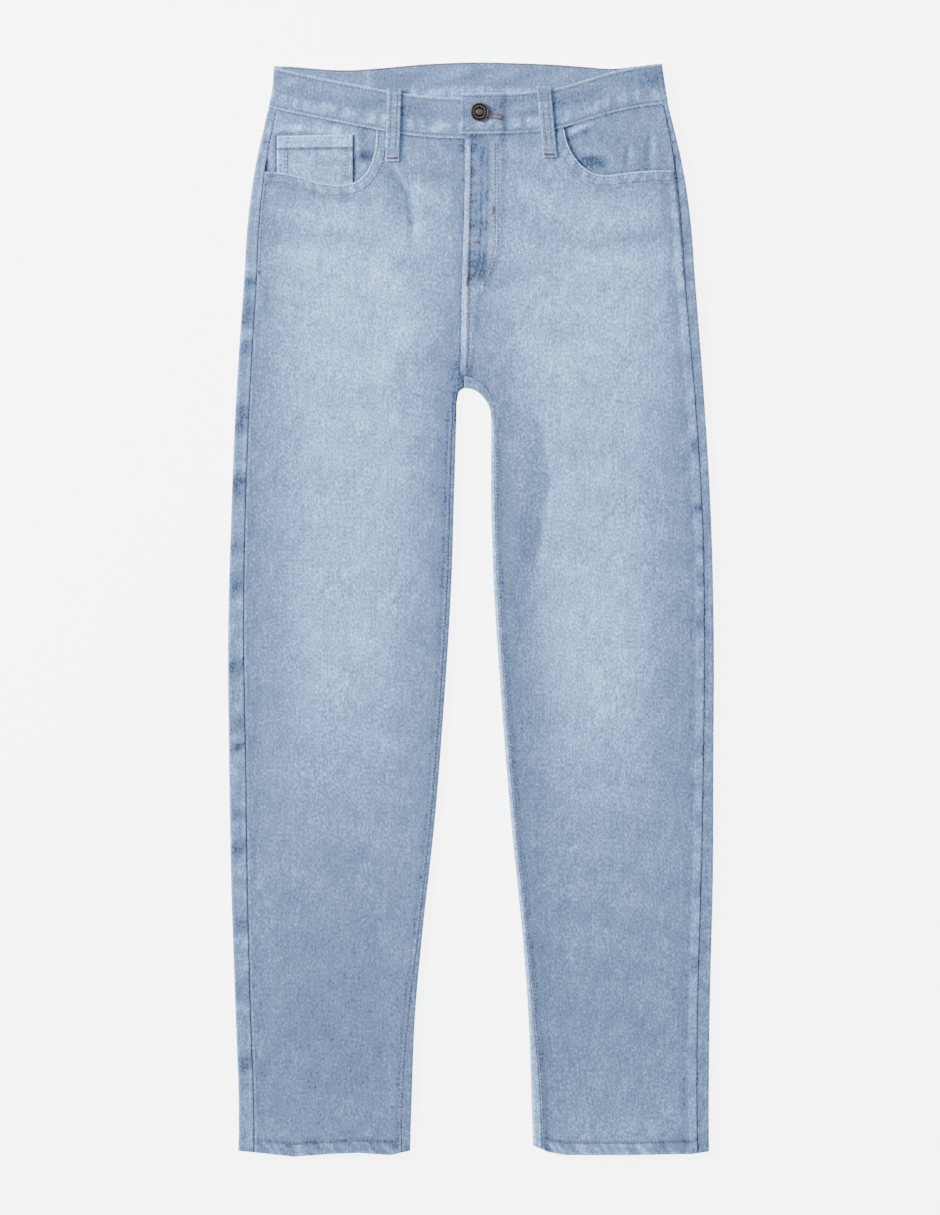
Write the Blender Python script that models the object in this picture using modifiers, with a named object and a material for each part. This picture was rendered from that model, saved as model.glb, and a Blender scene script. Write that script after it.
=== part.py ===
"""Straight five-pocket jeans, laid flat with the front up and the waist towards +Y.

Sizes are in millimetres and become metres when a mesh is made. The floor is z = 0 and
the origin is under the middle of the garment. Left and right are as seen from above.
Each cloth piece is an open surface, its outer face, and Solidify gives it its wall.
"""
import math
from collections import namedtuple

import bmesh
import bpy
import numpy as np

MM = 0.001

# Walls and levels
DENIM = 1.1            # one layer of denim
BAND = 2.0             # the waistband, two layers
HEM = 2.0              # the turned hem of a leg
FACING = 1.0           # pocket facing, coin pocket and back pockets
LOOP = 1.2             # a belt loop
SEAM = 0.2             # each piece stops this far short of its seam line
ABOVE = 0.35           # clearance between cloth layers that lie on each other
FACING_DROP = 2.0      # the facing lies this far under the front's outer face
LIFT = 1.45            # the seat lies on the back pockets and loops
LIFT_FROM, LIFT_TO = 190.0, 232.0
REST = 2.9             # both layers where they lie flat on each other
ROUND = 2.3            # how much thicker the garment is at a fold
FOLD = 2.6             # radius of the folded edges, seen from above
ROLL = 20.0            # the fold's roll dies out over this distance
HEM_FADE, WAIST_FADE = 16.0, 20.0      # so do the hem's and the waistband's thickness
HEM_SHARE, WAIST_SHARE, POCKET_SHARE = 0.74, 0.74, 0.66   # of ROUND, at hems, waist and pockets
POCKET_FADE = 22.0     # the pockets' thickness dies out over this distance
LAP_NEAR, LAP_FAR = 2.0, 8.0   # the upper layer of an overlap comes down between these distances past it

# Heights along the garment
HEM_LINE = -506.5
HEM_DEPTH = 12.0
CROTCH_FOOT = 178.0    # the folds of the crotch start here
UNDER_CURVE = 12.0     # width of the back layer that turns round the crotch
BAND_DEPTH = 38.0
HEM_WANDER = 60.0      # the cloth follows the hem's uneven edge over this height
YOKE_SIDE, YOKE_BACK = 434.0, 398.0
WAIST_AT = 440.0       # where the fly's edge and underlap are read for the waist's end
SIDE_WAIST, SIDE_TOP = 468.0, 500.0   # heights at which the waistband's seam and top edge meet the side

# The outline, and how far each side seam lies in from it on the front
Side = namedtuple("Side", "y left right seam_left seam_right")
SIDES = [
    Side(-515, -216.5, 221.5, 15.0, 10.5),
    Side(-475, -216.0, 221.3, 14.5, 11.0),
    Side(-363, -219.5, 222.3, 14.5, 11.5),
    Side(-251, -223.2, 225.1, 15.5, 11.0),
    Side(-140, -225.1, 225.6, 16.0, 9.5),
    Side(-28, -226.0, 226.0, 15.0, 8.8),
    Side(83, -223.2, 223.4, 13.5, 8.0),
    Side(195, -218.6, 217.0, 13.0, 8.5),
    Side(306, -211.1, 208.5, 12.0, 9.5),
    Side(362, -207.4, 204.2, 11.0, 9.0),
    Side(418, -199.3, 195.6, 9.5, 6.5),
    Side(448, -192.6, 188.6, 8.5, 5.0),
    Side(470, -187.6, 183.4, 8.0, 4.5),
    Side(482, -185.2, 181.4, 8.0, 4.5),
    Side(515, -183.0, 176.6, 8.0, 4.5),
]

# The inner edge of each leg, and how far the inseam lies in from it on the front
Inner = namedtuple("Inner", "y left right seam_left seam_right")
INNERS = [
    Inner(-515, -56.6, 57.6, 8.5, 9.0),
    Inner(-440, -54.4, 55.6, 8.5, 8.0),
    Inner(-380, -52.0, 53.4, 6.0, 4.8),
    Inner(-307, -45.6, 48.0, 3.8, 3.8),
    Inner(-196, -33.5, 37.0, 3.8, 3.8),
    Inner(-84, -24.6, 28.0, 3.8, 3.8),
    Inner(27, -17.9, 20.8, 3.8, 3.8),
    Inner(110, -15.4, 18.4, 3.8, 3.8),
    Inner(178, -13.4, 18.6, 3.8, 3.8),
]

# The fold round the crotch: the way into the cloth in degrees, and the flap on the front
Crotch = namedtuple("Crotch", "x y toward flap")
CROTCH = {
    -1: [
        Crotch(-13.4, 178.0, 180, 3.8),
        Crotch(-12.5, 196.0, 168, 3.8),
        Crotch(-10.2, 203.4, 128, 4.6),
        Crotch(-6.0, 205.6, 90, 11.5),
    ],
    1: [
        Crotch(18.6, 178.0, 0, 3.8),
        Crotch(17.2, 187.0, 22, 5.0),
        Crotch(12.6, 195.4, 52, 8.0),
        Crotch(6.4, 201.8, 72, 9.6),
        Crotch(0.4, 204.8, 84, 11.0),
        Crotch(-6.0, 205.6, 90, 11.5),
    ],
}

# The centre front and how far the left front reaches under the right one
Fly = namedtuple("Fly", "y edge under")
FLY = [
    Fly(210, -10.0, 4.0),
    Fly(218, -10.0, 4.0),
    Fly(240, -9.4, 8.0),
    Fly(285, -8.8, 9.0),
    Fly(305, -8.4, 20.0),
    Fly(330, -7.6, 29.0),
    Fly(380, -6.2, 31.0),
    Fly(445, -5.6, 31.0),
]
CENTRE_BACK = -6.0
BACK_COLUMNS = (-165, -143, -117, -90, -62, -34, CENTRE_BACK, 22, 50, 80, 108, 130, 150, 168)

# The waistband as it lies on the front, left part and right part, and on the back
Band = namedtuple("Band", "x top")
BAND_LEFT = [
    Band(-190, 505.3), Band(-170, 500.3), Band(-143, 494.8), Band(-116, 489.3), Band(-90, 484.4),
    Band(-62, 479.4), Band(-35, 476.5), Band(-9, 475.6), Band(30, 475.8),
]
BAND_RIGHT = [
    Band(-12, 479.6), Band(16, 479.9), Band(41, 480.3), Band(60, 481.6), Band(74, 483.4),
    Band(88, 486.4), Band(109, 492.8), Band(135, 500.4), Band(154, 504.4), Band(171, 506.6),
    Band(184, 508.0),
]
BAND_BACK = [
    Band(-190, 505.3), Band(-159, 504.2), Band(-143, 502.6), Band(-117, 501.4), Band(-89, 502.9),
    Band(-38, 507.2), Band(0, 508.6), Band(42, 508.0), Band(83, 506.2), Band(111, 504.0),
    Band(126, 502.6), Band(154, 505.0), Band(184, 508.0),
]
LAST_COLUMNS = (160, 140, 120, 100, 84, 68, 54, 43, 35, 27, 14, 2)   # on the front, right to left
BAND_END_LEFT = 25.0    # under the other end
BAND_END_RIGHT = -9.5   # over it, at the button

# The pocket mouths, from the side seam round to the waistband
Mouth = namedtuple("Mouth", "x y")
MOUTHS = {
    -1: [
        Mouth(-190.5, 406.6), Mouth(-173, 405.2), Mouth(-158, 401.6), Mouth(-141, 396.4),
        Mouth(-126, 394.5), Mouth(-115, 395.0), Mouth(-105, 398.6), Mouth(-97, 406.4),
        Mouth(-91.5, 418.0), Mouth(-88.6, 432.0), Mouth(-88.0, 446.5),
    ],
    1: [
        Mouth(187.6, 407.8), Mouth(171, 407.8), Mouth(155, 406.8), Mouth(139, 405.0),
        Mouth(125, 403.4), Mouth(114, 405.4), Mouth(104, 411.6), Mouth(96, 420.6),
        Mouth(90, 431.6), Mouth(86, 447.5),
    ],
}
FACING_SIDE = {-1: -72.0, 1: 70.0}   # inner edge of each pocket facing
FACING_FOOT = 380.0
FACING_CORNER = 30.0                 # how far its lower inner corner is rounded off

# How far the hem's edge lies off its line
HemEdge = namedtuple("HemEdge", "x rise")
HEM_EDGE = [
    HemEdge(-217, 3.6), HemEdge(-201, 2.0), HemEdge(-165, -2.0), HemEdge(-126, 0.7),
    HemEdge(-104, 1.5), HemEdge(-75, -0.6), HemEdge(-57, 3.6), HemEdge(0, 6.0), HemEdge(58, 8.5),
    HemEdge(71, 2.6), HemEdge(88, -0.6), HemEdge(145, -0.6), HemEdge(205, 0.4), HemEdge(222, 3.0),
]

# The largest soft folds of the front, as ridges between two points
Ridge = namedtuple("Ridge", "x0 y0 x1 y1 height width")
RIDGES = [
    Ridge(-78, 424, -58, 374, 1.5, 9),
    Ridge(-58, 374, -57, 340, 1.5, 10),
    Ridge(-62, 250, -58, 130, 1.4, 15),
    Ridge(-30, 262, -96, 190, 1.0, 14),
    Ridge(14, 254, 54, 180, 1.7, 13),
    Ridge(54, 180, 70, 70, 1.7, 14),
    Ridge(28, 330, 76, 268, 1.0, 13),
    Ridge(-120, -60, -150, -190, 0.9, 24),
    Ridge(120, -40, 146, -170, 0.9, 24),
]

# Belt loops: where each strip starts at the waist and ends below the band
Loop = namedtuple("Loop", "name x0 y0 x1 y1 width")
FRONT_LOOPS = [
    Loop("belt_loop_front_left", -71.1, 484.0, -73.2, 416.0, 12.6),
    Loop("belt_loop_front_right", 67.4, 486.0, 73.6, 419.5, 12.8),
]
BACK_LOOPS = [
    Loop("belt_loop_back_left", -118, 501, -116, 442, 12.6),
    Loop("belt_loop_back_centre", -3, 508, -3, 449, 12.6),
    Loop("belt_loop_back_right", 112, 503, 110, 444, 12.6),
]
LOOP_HUMP = 1.1         # room for a belt's edge under the middle of a loop

# Back pockets: centre of the top edge, size, and lean in degrees
BackPocket = namedtuple("BackPocket", "name x y lean")
BACK_POCKETS = [
    BackPocket("back_pocket_left", -112, 388, 3),
    BackPocket("back_pocket_right", 104, 388, -3),
]
POCKET_TOP, POCKET_FOOT, POCKET_DEPTH, POCKET_POINT = 140.0, 124.0, 112.0, 150.0

# Coin pocket on the left facing
COIN_LEFT, COIN_RIGHT, COIN_TOP = -180.0, -110.0, 440.0
COIN_ABOVE_MOUTH = 2.0
MOUTH_START, MOUTH_RISE = 3.0, 15.0   # the facing rises to the seams this far inside the mouth

# Button
BUTTON_X, BUTTON_Y = 7.9, 461.8
BUTTON_RADIUS = 8.7
Turned = namedtuple("Turned", "radius height")   # radius as a share of the button's own
BUTTON_PROFILE = [
    Turned(0, 3.3), Turned(0.25, 3.2), Turned(0.42, 2.8), Turned(0.52, 3.1), Turned(0.80, 3.3), Turned(0.94, 3.0),
    Turned(1, 2.2), Turned(0.96, 1.4), Turned(0.4, 1.1), Turned(0.34, 0), Turned(0, 0),
]

# Grid rows and columns
LEG_ROWS = 19
HIP_ROWS = 9
ARC = np.radians([90, 45, 0, -45, -90])
ACROSS_BACK = 6
FRONT_COLUMNS = 15
MOUTH_COLUMNS = 9
PULL_ROWS, PULL_POWER = 7, 1.6   # upper rows of a front that bend towards its curved top edge
BAND_ROWS = np.linspace(0, 1, 4)

# Materials: colour, roughness, metallic
WASHED = (0.42, 0.55, 0.71)
SHADED = (0.34, 0.47, 0.64)
STEEL = (0.33, 0.30, 0.27)


def smooth(rows, key, column, at):
    """Smooth curve through a table's rows: cubic pieces with each row's slope from its neighbours."""
    xs = np.array([getattr(row, key) for row in rows], float)
    ys = np.array([getattr(row, column) for row in rows], float)
    at = np.asarray(at, float)
    slope = np.gradient(ys, xs)
    i = np.clip(np.searchsorted(xs, at) - 1, 0, len(xs) - 2)
    width = xs[i + 1] - xs[i]
    t = (at - xs[i]) / width
    return ((1 + 2 * t) * (1 - t) ** 2 * ys[i] + t * (1 - t) ** 2 * width * slope[i]
            + t * t * (3 - 2 * t) * ys[i + 1] - t * t * (1 - t) * width * slope[i + 1])


def ease(value):
    """Smooth step from 0 to 1 as the value goes from 0 to 1."""
    value = np.clip(value, 0.0, 1.0)
    return value * value * (3 - 2 * value)


def blend(start, end, share):
    """Straight mix of two values or points."""
    return start + (end - start) * share


def outer_edge(side, y):
    return smooth(SIDES, "y", "left" if side < 0 else "right", y)


def side_seam(side, y):
    """Distance of the side seam from the outer edge."""
    return smooth(SIDES, "y", "seam_left" if side < 0 else "seam_right", y)


def inner_edge(side, y):
    return smooth(INNERS, "y", "left" if side < 0 else "right", y)


def inseam(side, y):
    """Distance of the inseam from the leg's inner edge."""
    return smooth(INNERS, "y", "seam_left" if side < 0 else "seam_right", y)


def fly_edge(y):
    return smooth(FLY, "y", "edge", y)


def fly_under(y):
    return np.interp(y, [row.y for row in FLY], [row.under for row in FLY])


def band_top(table, x):
    return smooth(table, "x", "top", x)


def waist_line(x):
    """Lower seam of the waistband on the front."""
    join = ease((np.asarray(x, float) + 12) / 40)
    left = band_top(BAND_LEFT, np.minimum(x, 30))
    right = band_top(BAND_RIGHT, np.maximum(x, -12))
    return blend(left, right, join) - BAND_DEPTH


def along(points, share):
    """Points at the given shares of a smooth curve through the given ones."""
    points = np.asarray(points, float)
    step = np.hypot(*np.diff(points, axis=0).T)
    run = np.concatenate([[0], np.cumsum(step)])
    run /= run[-1]
    share = np.asarray(share, float)
    slope = np.gradient(points, run, axis=0)
    i = np.clip(np.searchsorted(run, share) - 1, 0, len(run) - 2)
    width = (run[i + 1] - run[i])[:, None]
    t = ((share - run[i]) / (run[i + 1] - run[i]))[:, None]
    return ((1 + 2 * t) * (1 - t) ** 2 * points[i] + t * (1 - t) ** 2 * width * slope[i]
            + t * t * (3 - 2 * t) * points[i + 1] - t * t * (1 - t) * width * slope[i + 1])


def crotch_arrays(side):
    """Edge points, directions into the cloth and flap lengths round one side of the crotch."""
    rows = CROTCH[side]
    edge = np.array([(row.x, row.y) for row in rows])
    turn = np.radians([row.toward for row in rows])
    toward = np.stack([np.cos(turn), np.sin(turn)], axis=1)
    edge[-1, 0] += side * SEAM
    return edge, toward, np.array([row.flap for row in rows])


def folded_outline():
    """The folded edges as runs of points: both sides, and the inner legs with the crotch."""
    tall = np.linspace(HEM_LINE - 10, 515, 60)
    low = np.linspace(HEM_LINE - 10, CROTCH_FOOT, 40)
    runs = [np.stack([outer_edge(side, tall), tall], axis=1) for side in (-1, 1)]
    for side in (-1, 1):
        leg = np.stack([inner_edge(side, low), low], axis=1)
        runs.append(np.concatenate([leg, crotch_arrays(side)[0][1:]]))
    return runs


OUTLINE = folded_outline()


def to_segments(x, y, start, end):
    """Distance from each point to the nearest of some straight segments."""
    point = np.stack([x, y], axis=-1)[..., None, :]
    run = end - start
    share = ((point - start) * run).sum(-1) / np.maximum((run * run).sum(-1), 1e-9)
    foot = start + np.clip(share, 0, 1)[..., None] * run
    return np.sqrt(((point - foot) ** 2).sum(-1)).min(-1)


def from_edge(x, y):
    """Distance of a point from the nearest folded edge."""
    gaps = [to_segments(x, y, run[:-1], run[1:]) for run in OUTLINE]
    return np.minimum.reduce(gaps)


def under_face(y):
    """Height of the back layer's outer face above the floor."""
    return LIFT * ease((np.asarray(y, float) - LIFT_FROM) / (LIFT_TO - LIFT_FROM))


def pocket_zone(x, y):
    """1 over the pocket facings, easing to 0 around them."""
    left = ease((FACING_SIDE[-1] - x) / POCKET_FADE + 2)
    right = ease((x - FACING_SIDE[1]) / POCKET_FADE + 2)
    return np.maximum(left, right) * ease((y - FACING_FOOT) / POCKET_FADE + 2)


def top_face(x, y):
    """Height of the front layer's outer face: the flat stack, its rolled edges, hems and folds."""
    x, y = np.broadcast_arrays(np.asarray(x, float), np.asarray(y, float))
    roll = np.exp(-(np.maximum(from_edge(x, y) - FOLD, 0) / ROLL) ** 2)
    hem = np.exp(-(np.maximum(y - HEM_LINE - HEM_DEPTH - 3, 0) / HEM_FADE) ** 2)
    waist = np.exp(-(np.minimum(y - waist_line(x), 0) / WAIST_FADE) ** 2)
    flat = (1 - roll) * (1 - HEM_SHARE * hem) * (1 - WAIST_SHARE * waist)
    thick = 1 - flat * (1 - POCKET_SHARE * pocket_zone(x, y))
    folds = np.zeros(x.shape)
    for row in RIDGES:
        gap = to_segments(x, y, np.array([[row.x0, row.y0]]), np.array([[row.x1, row.y1]]))
        folds += row.height * np.exp(-(gap / row.width) ** 2)
    return under_face(y) + REST + ROUND * thick + folds * (1 - roll) * (1 - waist)


def hem_shift(x, y):
    """The hem's edge wanders off its straight line, and the cloth above follows it a little way."""
    rise = np.interp(x, [row.x for row in HEM_EDGE], [row.rise for row in HEM_EDGE])
    return y + rise * ease(1 - (y - HEM_LINE) / HEM_WANDER)


def round_fold(edge, toward, flap, middle=False):
    """Grid round a folded edge, a row for each edge point: from the flap's end on the front,
    over the edge on a half ellipse, to the back layer."""
    reach = [flap, (flap + FOLD) / 2] if middle else [flap]
    plan = [edge + toward * r[:, None] for r in reach]
    grid = [np.column_stack([p, top_face(p[:, 0], p[:, 1])]) for p in plan]
    inside = edge + toward * FOLD
    low = under_face(edge[:, 1])
    high = top_face(inside[:, 0], inside[:, 1])
    for turn in ARC:
        p = edge + toward * FOLD * (1 - math.cos(turn))
        floor = under_face(p[:, 1]) if turn < 0 else low
        grid.append(np.column_stack([p, floor + (high - floor) * (1 + math.sin(turn)) / 2]))
    return np.stack(grid, axis=1)


def lay_back(x, y):
    """Points of the back layer's outer face."""
    x, y = np.broadcast_arrays(x, y)
    return np.stack([x, y, under_face(y)], axis=-1)


def lay_front(x, y, raised=0.0):
    """Points of the front layer's outer face."""
    x, y = np.broadcast_arrays(x, y)
    return np.stack([x, y, top_face(x, y) + raised], axis=-1)


def leg_levels():
    """Heights of the rows from the hem to the crotch."""
    above = np.linspace(HEM_LINE + HEM_DEPTH, CROTCH_FOOT, LEG_ROWS)
    return np.concatenate([[HEM_LINE], above])


def outer_fold(side, y):
    """Grid round the outer fold at the given heights, one row for each."""
    edge = np.stack([outer_edge(side, y), y], axis=1)
    toward = np.tile([-float(side), 0.0], (len(y), 1))
    return round_fold(edge, toward, side_seam(side, y) - SEAM, middle=True)


def yoke_seam(side, x):
    """Height of the slanted seam between a back panel and its yoke."""
    share = np.clip((np.asarray(x) - CENTRE_BACK) / (side * 190), 0, 1)
    return blend(YOKE_BACK, YOKE_SIDE, share)


def back_leg(side):
    """The leg part of a back panel, from the side seam right round to the inseam."""
    y = leg_levels()
    outer = outer_fold(side, y)
    edge = np.stack([inner_edge(side, y), y], axis=1)
    toward = np.tile([float(side), 0.0], (len(y), 1))
    inner = round_fold(edge, toward, inseam(side, y) - SEAM)[:, ::-1]
    start, end = outer[:, -1, 0], edge[:, 0] + side * UNDER_CURVE
    share = np.linspace(0, 1, ACROSS_BACK + 1)[1:]
    across = lay_back(start[:, None] + (end - start)[:, None] * share, y[:, None])
    return np.concatenate([outer, across, inner], axis=1)


def crotch_fan(side):
    """The back panel's cloth that turns round the crotch, from the leg's edge to the centre back."""
    edge, toward, flap = crotch_arrays(side)
    inner = round_fold(edge, toward, flap - SEAM)[:, ::-1]
    inside = edge + toward * UNDER_CURVE
    return np.concatenate([lay_back(inside[:, 0], inside[:, 1])[:, None], inner], axis=1)


def back_hip(side, leg, fan):
    """The seat part of a back panel, from the leg up to the yoke seam."""
    share = np.linspace(0, 1, HIP_ROWS + 1)[1:]
    outer = outer_fold(side, blend(CROTCH_FOOT, YOKE_SIDE - SEAM, share))
    foot = np.concatenate([leg[-1, :outer.shape[1] + ACROSS_BACK], fan[1:, 0]])
    start = outer[:, -1, 0]
    end = CENTRE_BACK + side * SEAM
    turned = outer.shape[1]
    flat, corner = foot[turned:], foot[turned - 1, 0]
    portion = (flat[:, 0] - corner) / (end - corner)
    x = start[:, None] + (end - start)[:, None] * portion
    bottom = flat[:, 1]
    top = yoke_seam(side, x[-1]) - SEAM
    y = bottom + (top - bottom) * share[:, None]
    rows = np.concatenate([outer, lay_back(x, y)], axis=1)
    return np.concatenate([foot[None], rows])


def yoke(side):
    """A yoke, from its slanted seam to the waistband, wrapped round the outer fold."""
    share = np.linspace(0, 1, 4)
    band = band_top(BAND_BACK, outer_edge(side, SIDE_WAIST)) - BAND_DEPTH
    outer = outer_fold(side, blend(YOKE_SIDE + SEAM, band - SEAM, share))
    front = band_top(BAND_LEFT if side < 0 else BAND_RIGHT, outer[:, :4, 0]) - BAND_DEPTH - ABOVE
    behind = band_top(BAND_BACK, outer[:, 4:, 0]) - BAND_DEPTH - ABOVE
    line = np.concatenate([front, behind], axis=1)
    outer[..., 1] = blend(YOKE_SIDE + SEAM, line, share[:, None])
    x = np.array([x for x in BACK_COLUMNS if (x - CENTRE_BACK) * side > 0][::-side] + [CENTRE_BACK])
    x[-1] += side * SEAM
    x = np.tile(x, (len(share), 1))
    low = yoke_seam(side, x) + SEAM
    high = band_top(BAND_BACK, x) - BAND_DEPTH - SEAM
    return np.concatenate([outer, lay_back(x, blend(low, high, share[:, None]))], axis=1)


def front_top(side, count):
    """Upper edge of a front panel: round the pocket mouth, then along the waistband."""
    mouth = np.array([(row.x, row.y) for row in MOUTHS[side]])
    edge = along(mouth, np.linspace(0, 1, MOUTH_COLUMNS + 1))
    table = BAND_LEFT if side < 0 else BAND_RIGHT
    lap = fly_edge(WAIST_AT) + fly_under(WAIST_AT)
    if side < 0:
        x = np.linspace(edge[-1, 0], lap, count - MOUTH_COLUMNS + 1)[1:]
    else:
        x = np.linspace(edge[-1, 0], lap + LAP_FAR, count - MOUTH_COLUMNS - 1)[1:]
        x = np.concatenate([x, [lap + LAP_NEAR, fly_edge(WAIST_AT)]])
    y = band_top(table, x) - BAND_DEPTH - SEAM
    edge[-1, 1] = band_top(table, edge[-1, 0]) - BAND_DEPTH - SEAM
    return np.concatenate([edge, np.stack([x, y], axis=1)])


def front_plan(side):
    """Plan of a front panel: rows from the hem to the waist, columns from the side seam inwards."""
    leg = leg_levels()
    edge, toward, flap = crotch_arrays(side)
    turn = (edge + toward * (flap + SEAM)[:, None])[1:]
    top = front_top(side, FRONT_COLUMNS)
    low = turn[-1, 1]
    fly_y = blend(low, top[-1, 1], np.linspace(0, 1, HIP_ROWS)[1:])
    under = fly_under(fly_y) if side < 0 else 0 * fly_y
    turn[-1] = fly_edge(low) + (fly_under(low) if side < 0 else 0), low + SEAM
    fly = np.stack([fly_edge(fly_y) + under, fly_y], axis=1)
    inseam_x = inner_edge(side, leg) + side * (inseam(side, leg) + SEAM)
    inner = np.concatenate([np.stack([inseam_x, leg], axis=1), turn, fly])
    upper = np.linspace(CROTCH_FOOT, top[0, 1], len(turn) + len(fly) + 1)[1:]
    outer_y = np.concatenate([leg, upper])
    outer = np.stack([outer_edge(side, outer_y) - side * (side_seam(side, outer_y) + SEAM), outer_y], axis=1)
    top[0] = outer[-1]
    top[-1] = inner[-1]
    share = np.linspace(0, 1, FRONT_COLUMNS + 1)
    if side < 0:
        plan = blend(outer[:, None], inner[:, None], share[None, :, None])
    else:
        reach = fly_under(inner[:, 1])
        step = np.stack([inner + np.stack([reach + LAP_FAR, 0 * reach], 1),
                         inner + np.stack([reach + LAP_NEAR, 0 * reach], 1), inner], axis=1)
        share = np.linspace(0, 1, FRONT_COLUMNS - 1)[:-1]
        plan = np.concatenate([blend(outer[:, None], step[:, :1], share[None, :, None]), step], axis=1)
    bent = np.arange(len(outer_y)) - (len(outer_y) - 1 - PULL_ROWS)
    pull = np.clip(bent / PULL_ROWS, 0, 1) ** PULL_POWER
    return plan + pull[:, None, None] * (top - plan[-1])[None]


def fly_raise(x, y, layer):
    """How much the right side is raised where it lies over the left side."""
    past = x - fly_edge(y) - fly_under(y)
    return (layer + ABOVE) * ease((LAP_FAR - past) / (LAP_FAR - LAP_NEAR))


def front_panel(side):
    plan = front_plan(side)
    x, y = plan[..., 0], plan[..., 1]
    return lay_front(x, y, fly_raise(x, y, DENIM) if side > 0 else 0.0)


def pocket_facing(side):
    """The cloth seen in a pocket mouth: it lies under the front and rises to the seams."""
    foot = np.linspace(0, 1, 11)
    share = np.linspace(0, 1, 8)[:, None]
    low = FACING_FOOT + FACING_CORNER * (np.clip(foot - 0.6, 0, 1) / 0.4) ** 2
    y = blend(low, 460.0, share)
    for _ in range(4):
        start = outer_edge(side, y) - side * (side_seam(side, y) + ABOVE)
        x = blend(start, FACING_SIDE[side], foot)
        y = blend(low, waist_line(x) - 2 * ABOVE, share)
    z = top_face(x, y) - FACING_DROP + (FACING_DROP - 0.1) * mouth_rise(side, x, y)
    return np.stack([x, y, z], axis=-1)


def mouth_rise(side, x, y):
    """0 under the front panel, easing to 1 a little way inside the pocket mouth."""
    mouth = np.array([(row.x, row.y) for row in MOUTHS[side]])
    gap = to_segments(x, y, mouth[:-1], mouth[1:])
    line = mouth_line(side, x)
    inside = (y > line) & ((x - MOUTHS[side][-1].x) * side > 0)
    return ease((gap - MOUTH_START) / MOUTH_RISE) * inside


def mouth_line(side, x):
    """Height of the mouth's edge above or below a place along X."""
    rows = sorted(MOUTHS[side])
    return np.interp(x, [row.x for row in rows], [row.y for row in rows])


def coin_pocket():
    """The small pocket on the left facing, ending just above the mouth's edge."""
    x = np.linspace(COIN_LEFT, COIN_RIGHT, 7)
    low = mouth_line(-1, x) + COIN_ABOVE_MOUTH
    share = np.linspace(0, 1, 5)[:, None]
    y = blend(low, COIN_TOP + 0.012 * (x - COIN_LEFT), share)
    x = x + 0 * y
    facing = top_face(x, y) - FACING_DROP + (FACING_DROP - 0.1) * mouth_rise(-1, x, y)
    return np.stack([x, y, facing + ABOVE + FACING], axis=-1)


def band_column(x, table, height):
    """One column of the waistband, from its seam up to its top edge, with a height for each point."""
    x = x + 0 * BAND_ROWS
    y = band_top(table, x) - BAND_DEPTH * (1 - BAND_ROWS)
    return np.stack([x, y, height(x, y)], axis=-1)


def band_fold(side):
    """Where the waistband's columns fold round at one side."""
    high = band_top(BAND_BACK, outer_edge(side, SIDE_TOP))
    return outer_edge(side, high - BAND_DEPTH * (1 - BAND_ROWS))


def band_turn(side, table):
    """The waistband's columns round one side, from the front, which its table gives, to the back."""
    fold = band_fold(side)
    inside = fold - side * FOLD
    columns = []
    for angle in ARC:
        def height(x, y):
            low, top = under_face(y), top_face(inside, y)
            return low + (top - low) * (1 + math.sin(angle)) / 2
        on_front = angle >= 0 if side < 0 else angle > 0
        x = fold - side * FOLD * (1 - math.cos(angle))
        columns.append(band_column(x, table if on_front else BAND_BACK, height))
    return columns


def band_lap(x, y):
    """Height of the end that lies over the other one."""
    return top_face(x, y) + (BAND + ABOVE) * ease((BAND_END_LEFT + LAP_FAR + 1 - x) / (LAP_FAR - 1))


def waistband():
    """The waistband as one strip: from its end under the button, round the back, to its other end."""
    shares = np.linspace(0, 1, 11)[:-1]
    start = blend(BAND_END_LEFT, band_fold(-1) + FOLD, shares[:, None])
    columns = [band_column(x, BAND_LEFT, top_face) for x in start]
    columns += band_turn(-1, BAND_LEFT)
    columns += [band_column(x, BAND_BACK, lambda x, y: under_face(y)) for x in BACK_COLUMNS]
    columns += band_turn(1, BAND_RIGHT)[::-1]
    columns += [band_column(x, BAND_RIGHT, band_lap) for x in (*LAST_COLUMNS, BAND_END_RIGHT)]
    return np.stack(columns, axis=1)


def belt_loop(row, front):
    """A strip over the waistband: a low arch on the front, flat where the garment lies on it."""
    share = np.linspace(0, 1, 9)[:, None]
    across = np.array([-0.5, 0, 0.5]) * row.width
    x = blend(row.x0, row.x1, share) + across
    y = blend(row.y0, row.y1, share) + 0 * across
    if not front:
        return np.stack([x, y, 0 * x], axis=-1)
    arch = LOOP_HUMP * np.sin(math.pi * share) ** 0.7
    z = top_face(x, y).max(axis=1, keepdims=True) + ABOVE + LOOP + arch + 0 * x
    return np.stack([x, y, z], axis=-1)


def back_pocket(row):
    """A pointed patch pocket under the seat, its outer face on the floor."""
    part = np.linspace(-1, 1, 7)
    share = np.linspace(0, 1, 5)[:, None]
    depth = share * (POCKET_DEPTH + (POCKET_POINT - POCKET_DEPTH) * (1 - np.abs(part)))
    x = part * blend(POCKET_TOP, POCKET_FOOT, np.minimum(depth / POCKET_DEPTH, 1)) / 2
    lean = math.radians(row.lean)
    turned = np.stack([x * math.cos(lean) + depth * math.sin(lean),
                       x * math.sin(lean) - depth * math.cos(lean)], axis=-1)
    plan = turned + np.array([row.x, row.y])
    return np.concatenate([plan, np.zeros(plan.shape[:2] + (1,))], axis=-1)


def material(name, colour, roughness, metallic=0.0):
    """A plain surface finish."""
    made = bpy.data.materials.new(name)
    made.use_nodes = True
    shader = made.node_tree.nodes["Principled BSDF"]
    shader.inputs["Base Color"].default_value = (*colour, 1.0)
    shader.inputs["Roughness"].default_value = roughness
    shader.inputs["Metallic"].default_value = metallic
    return made


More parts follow.
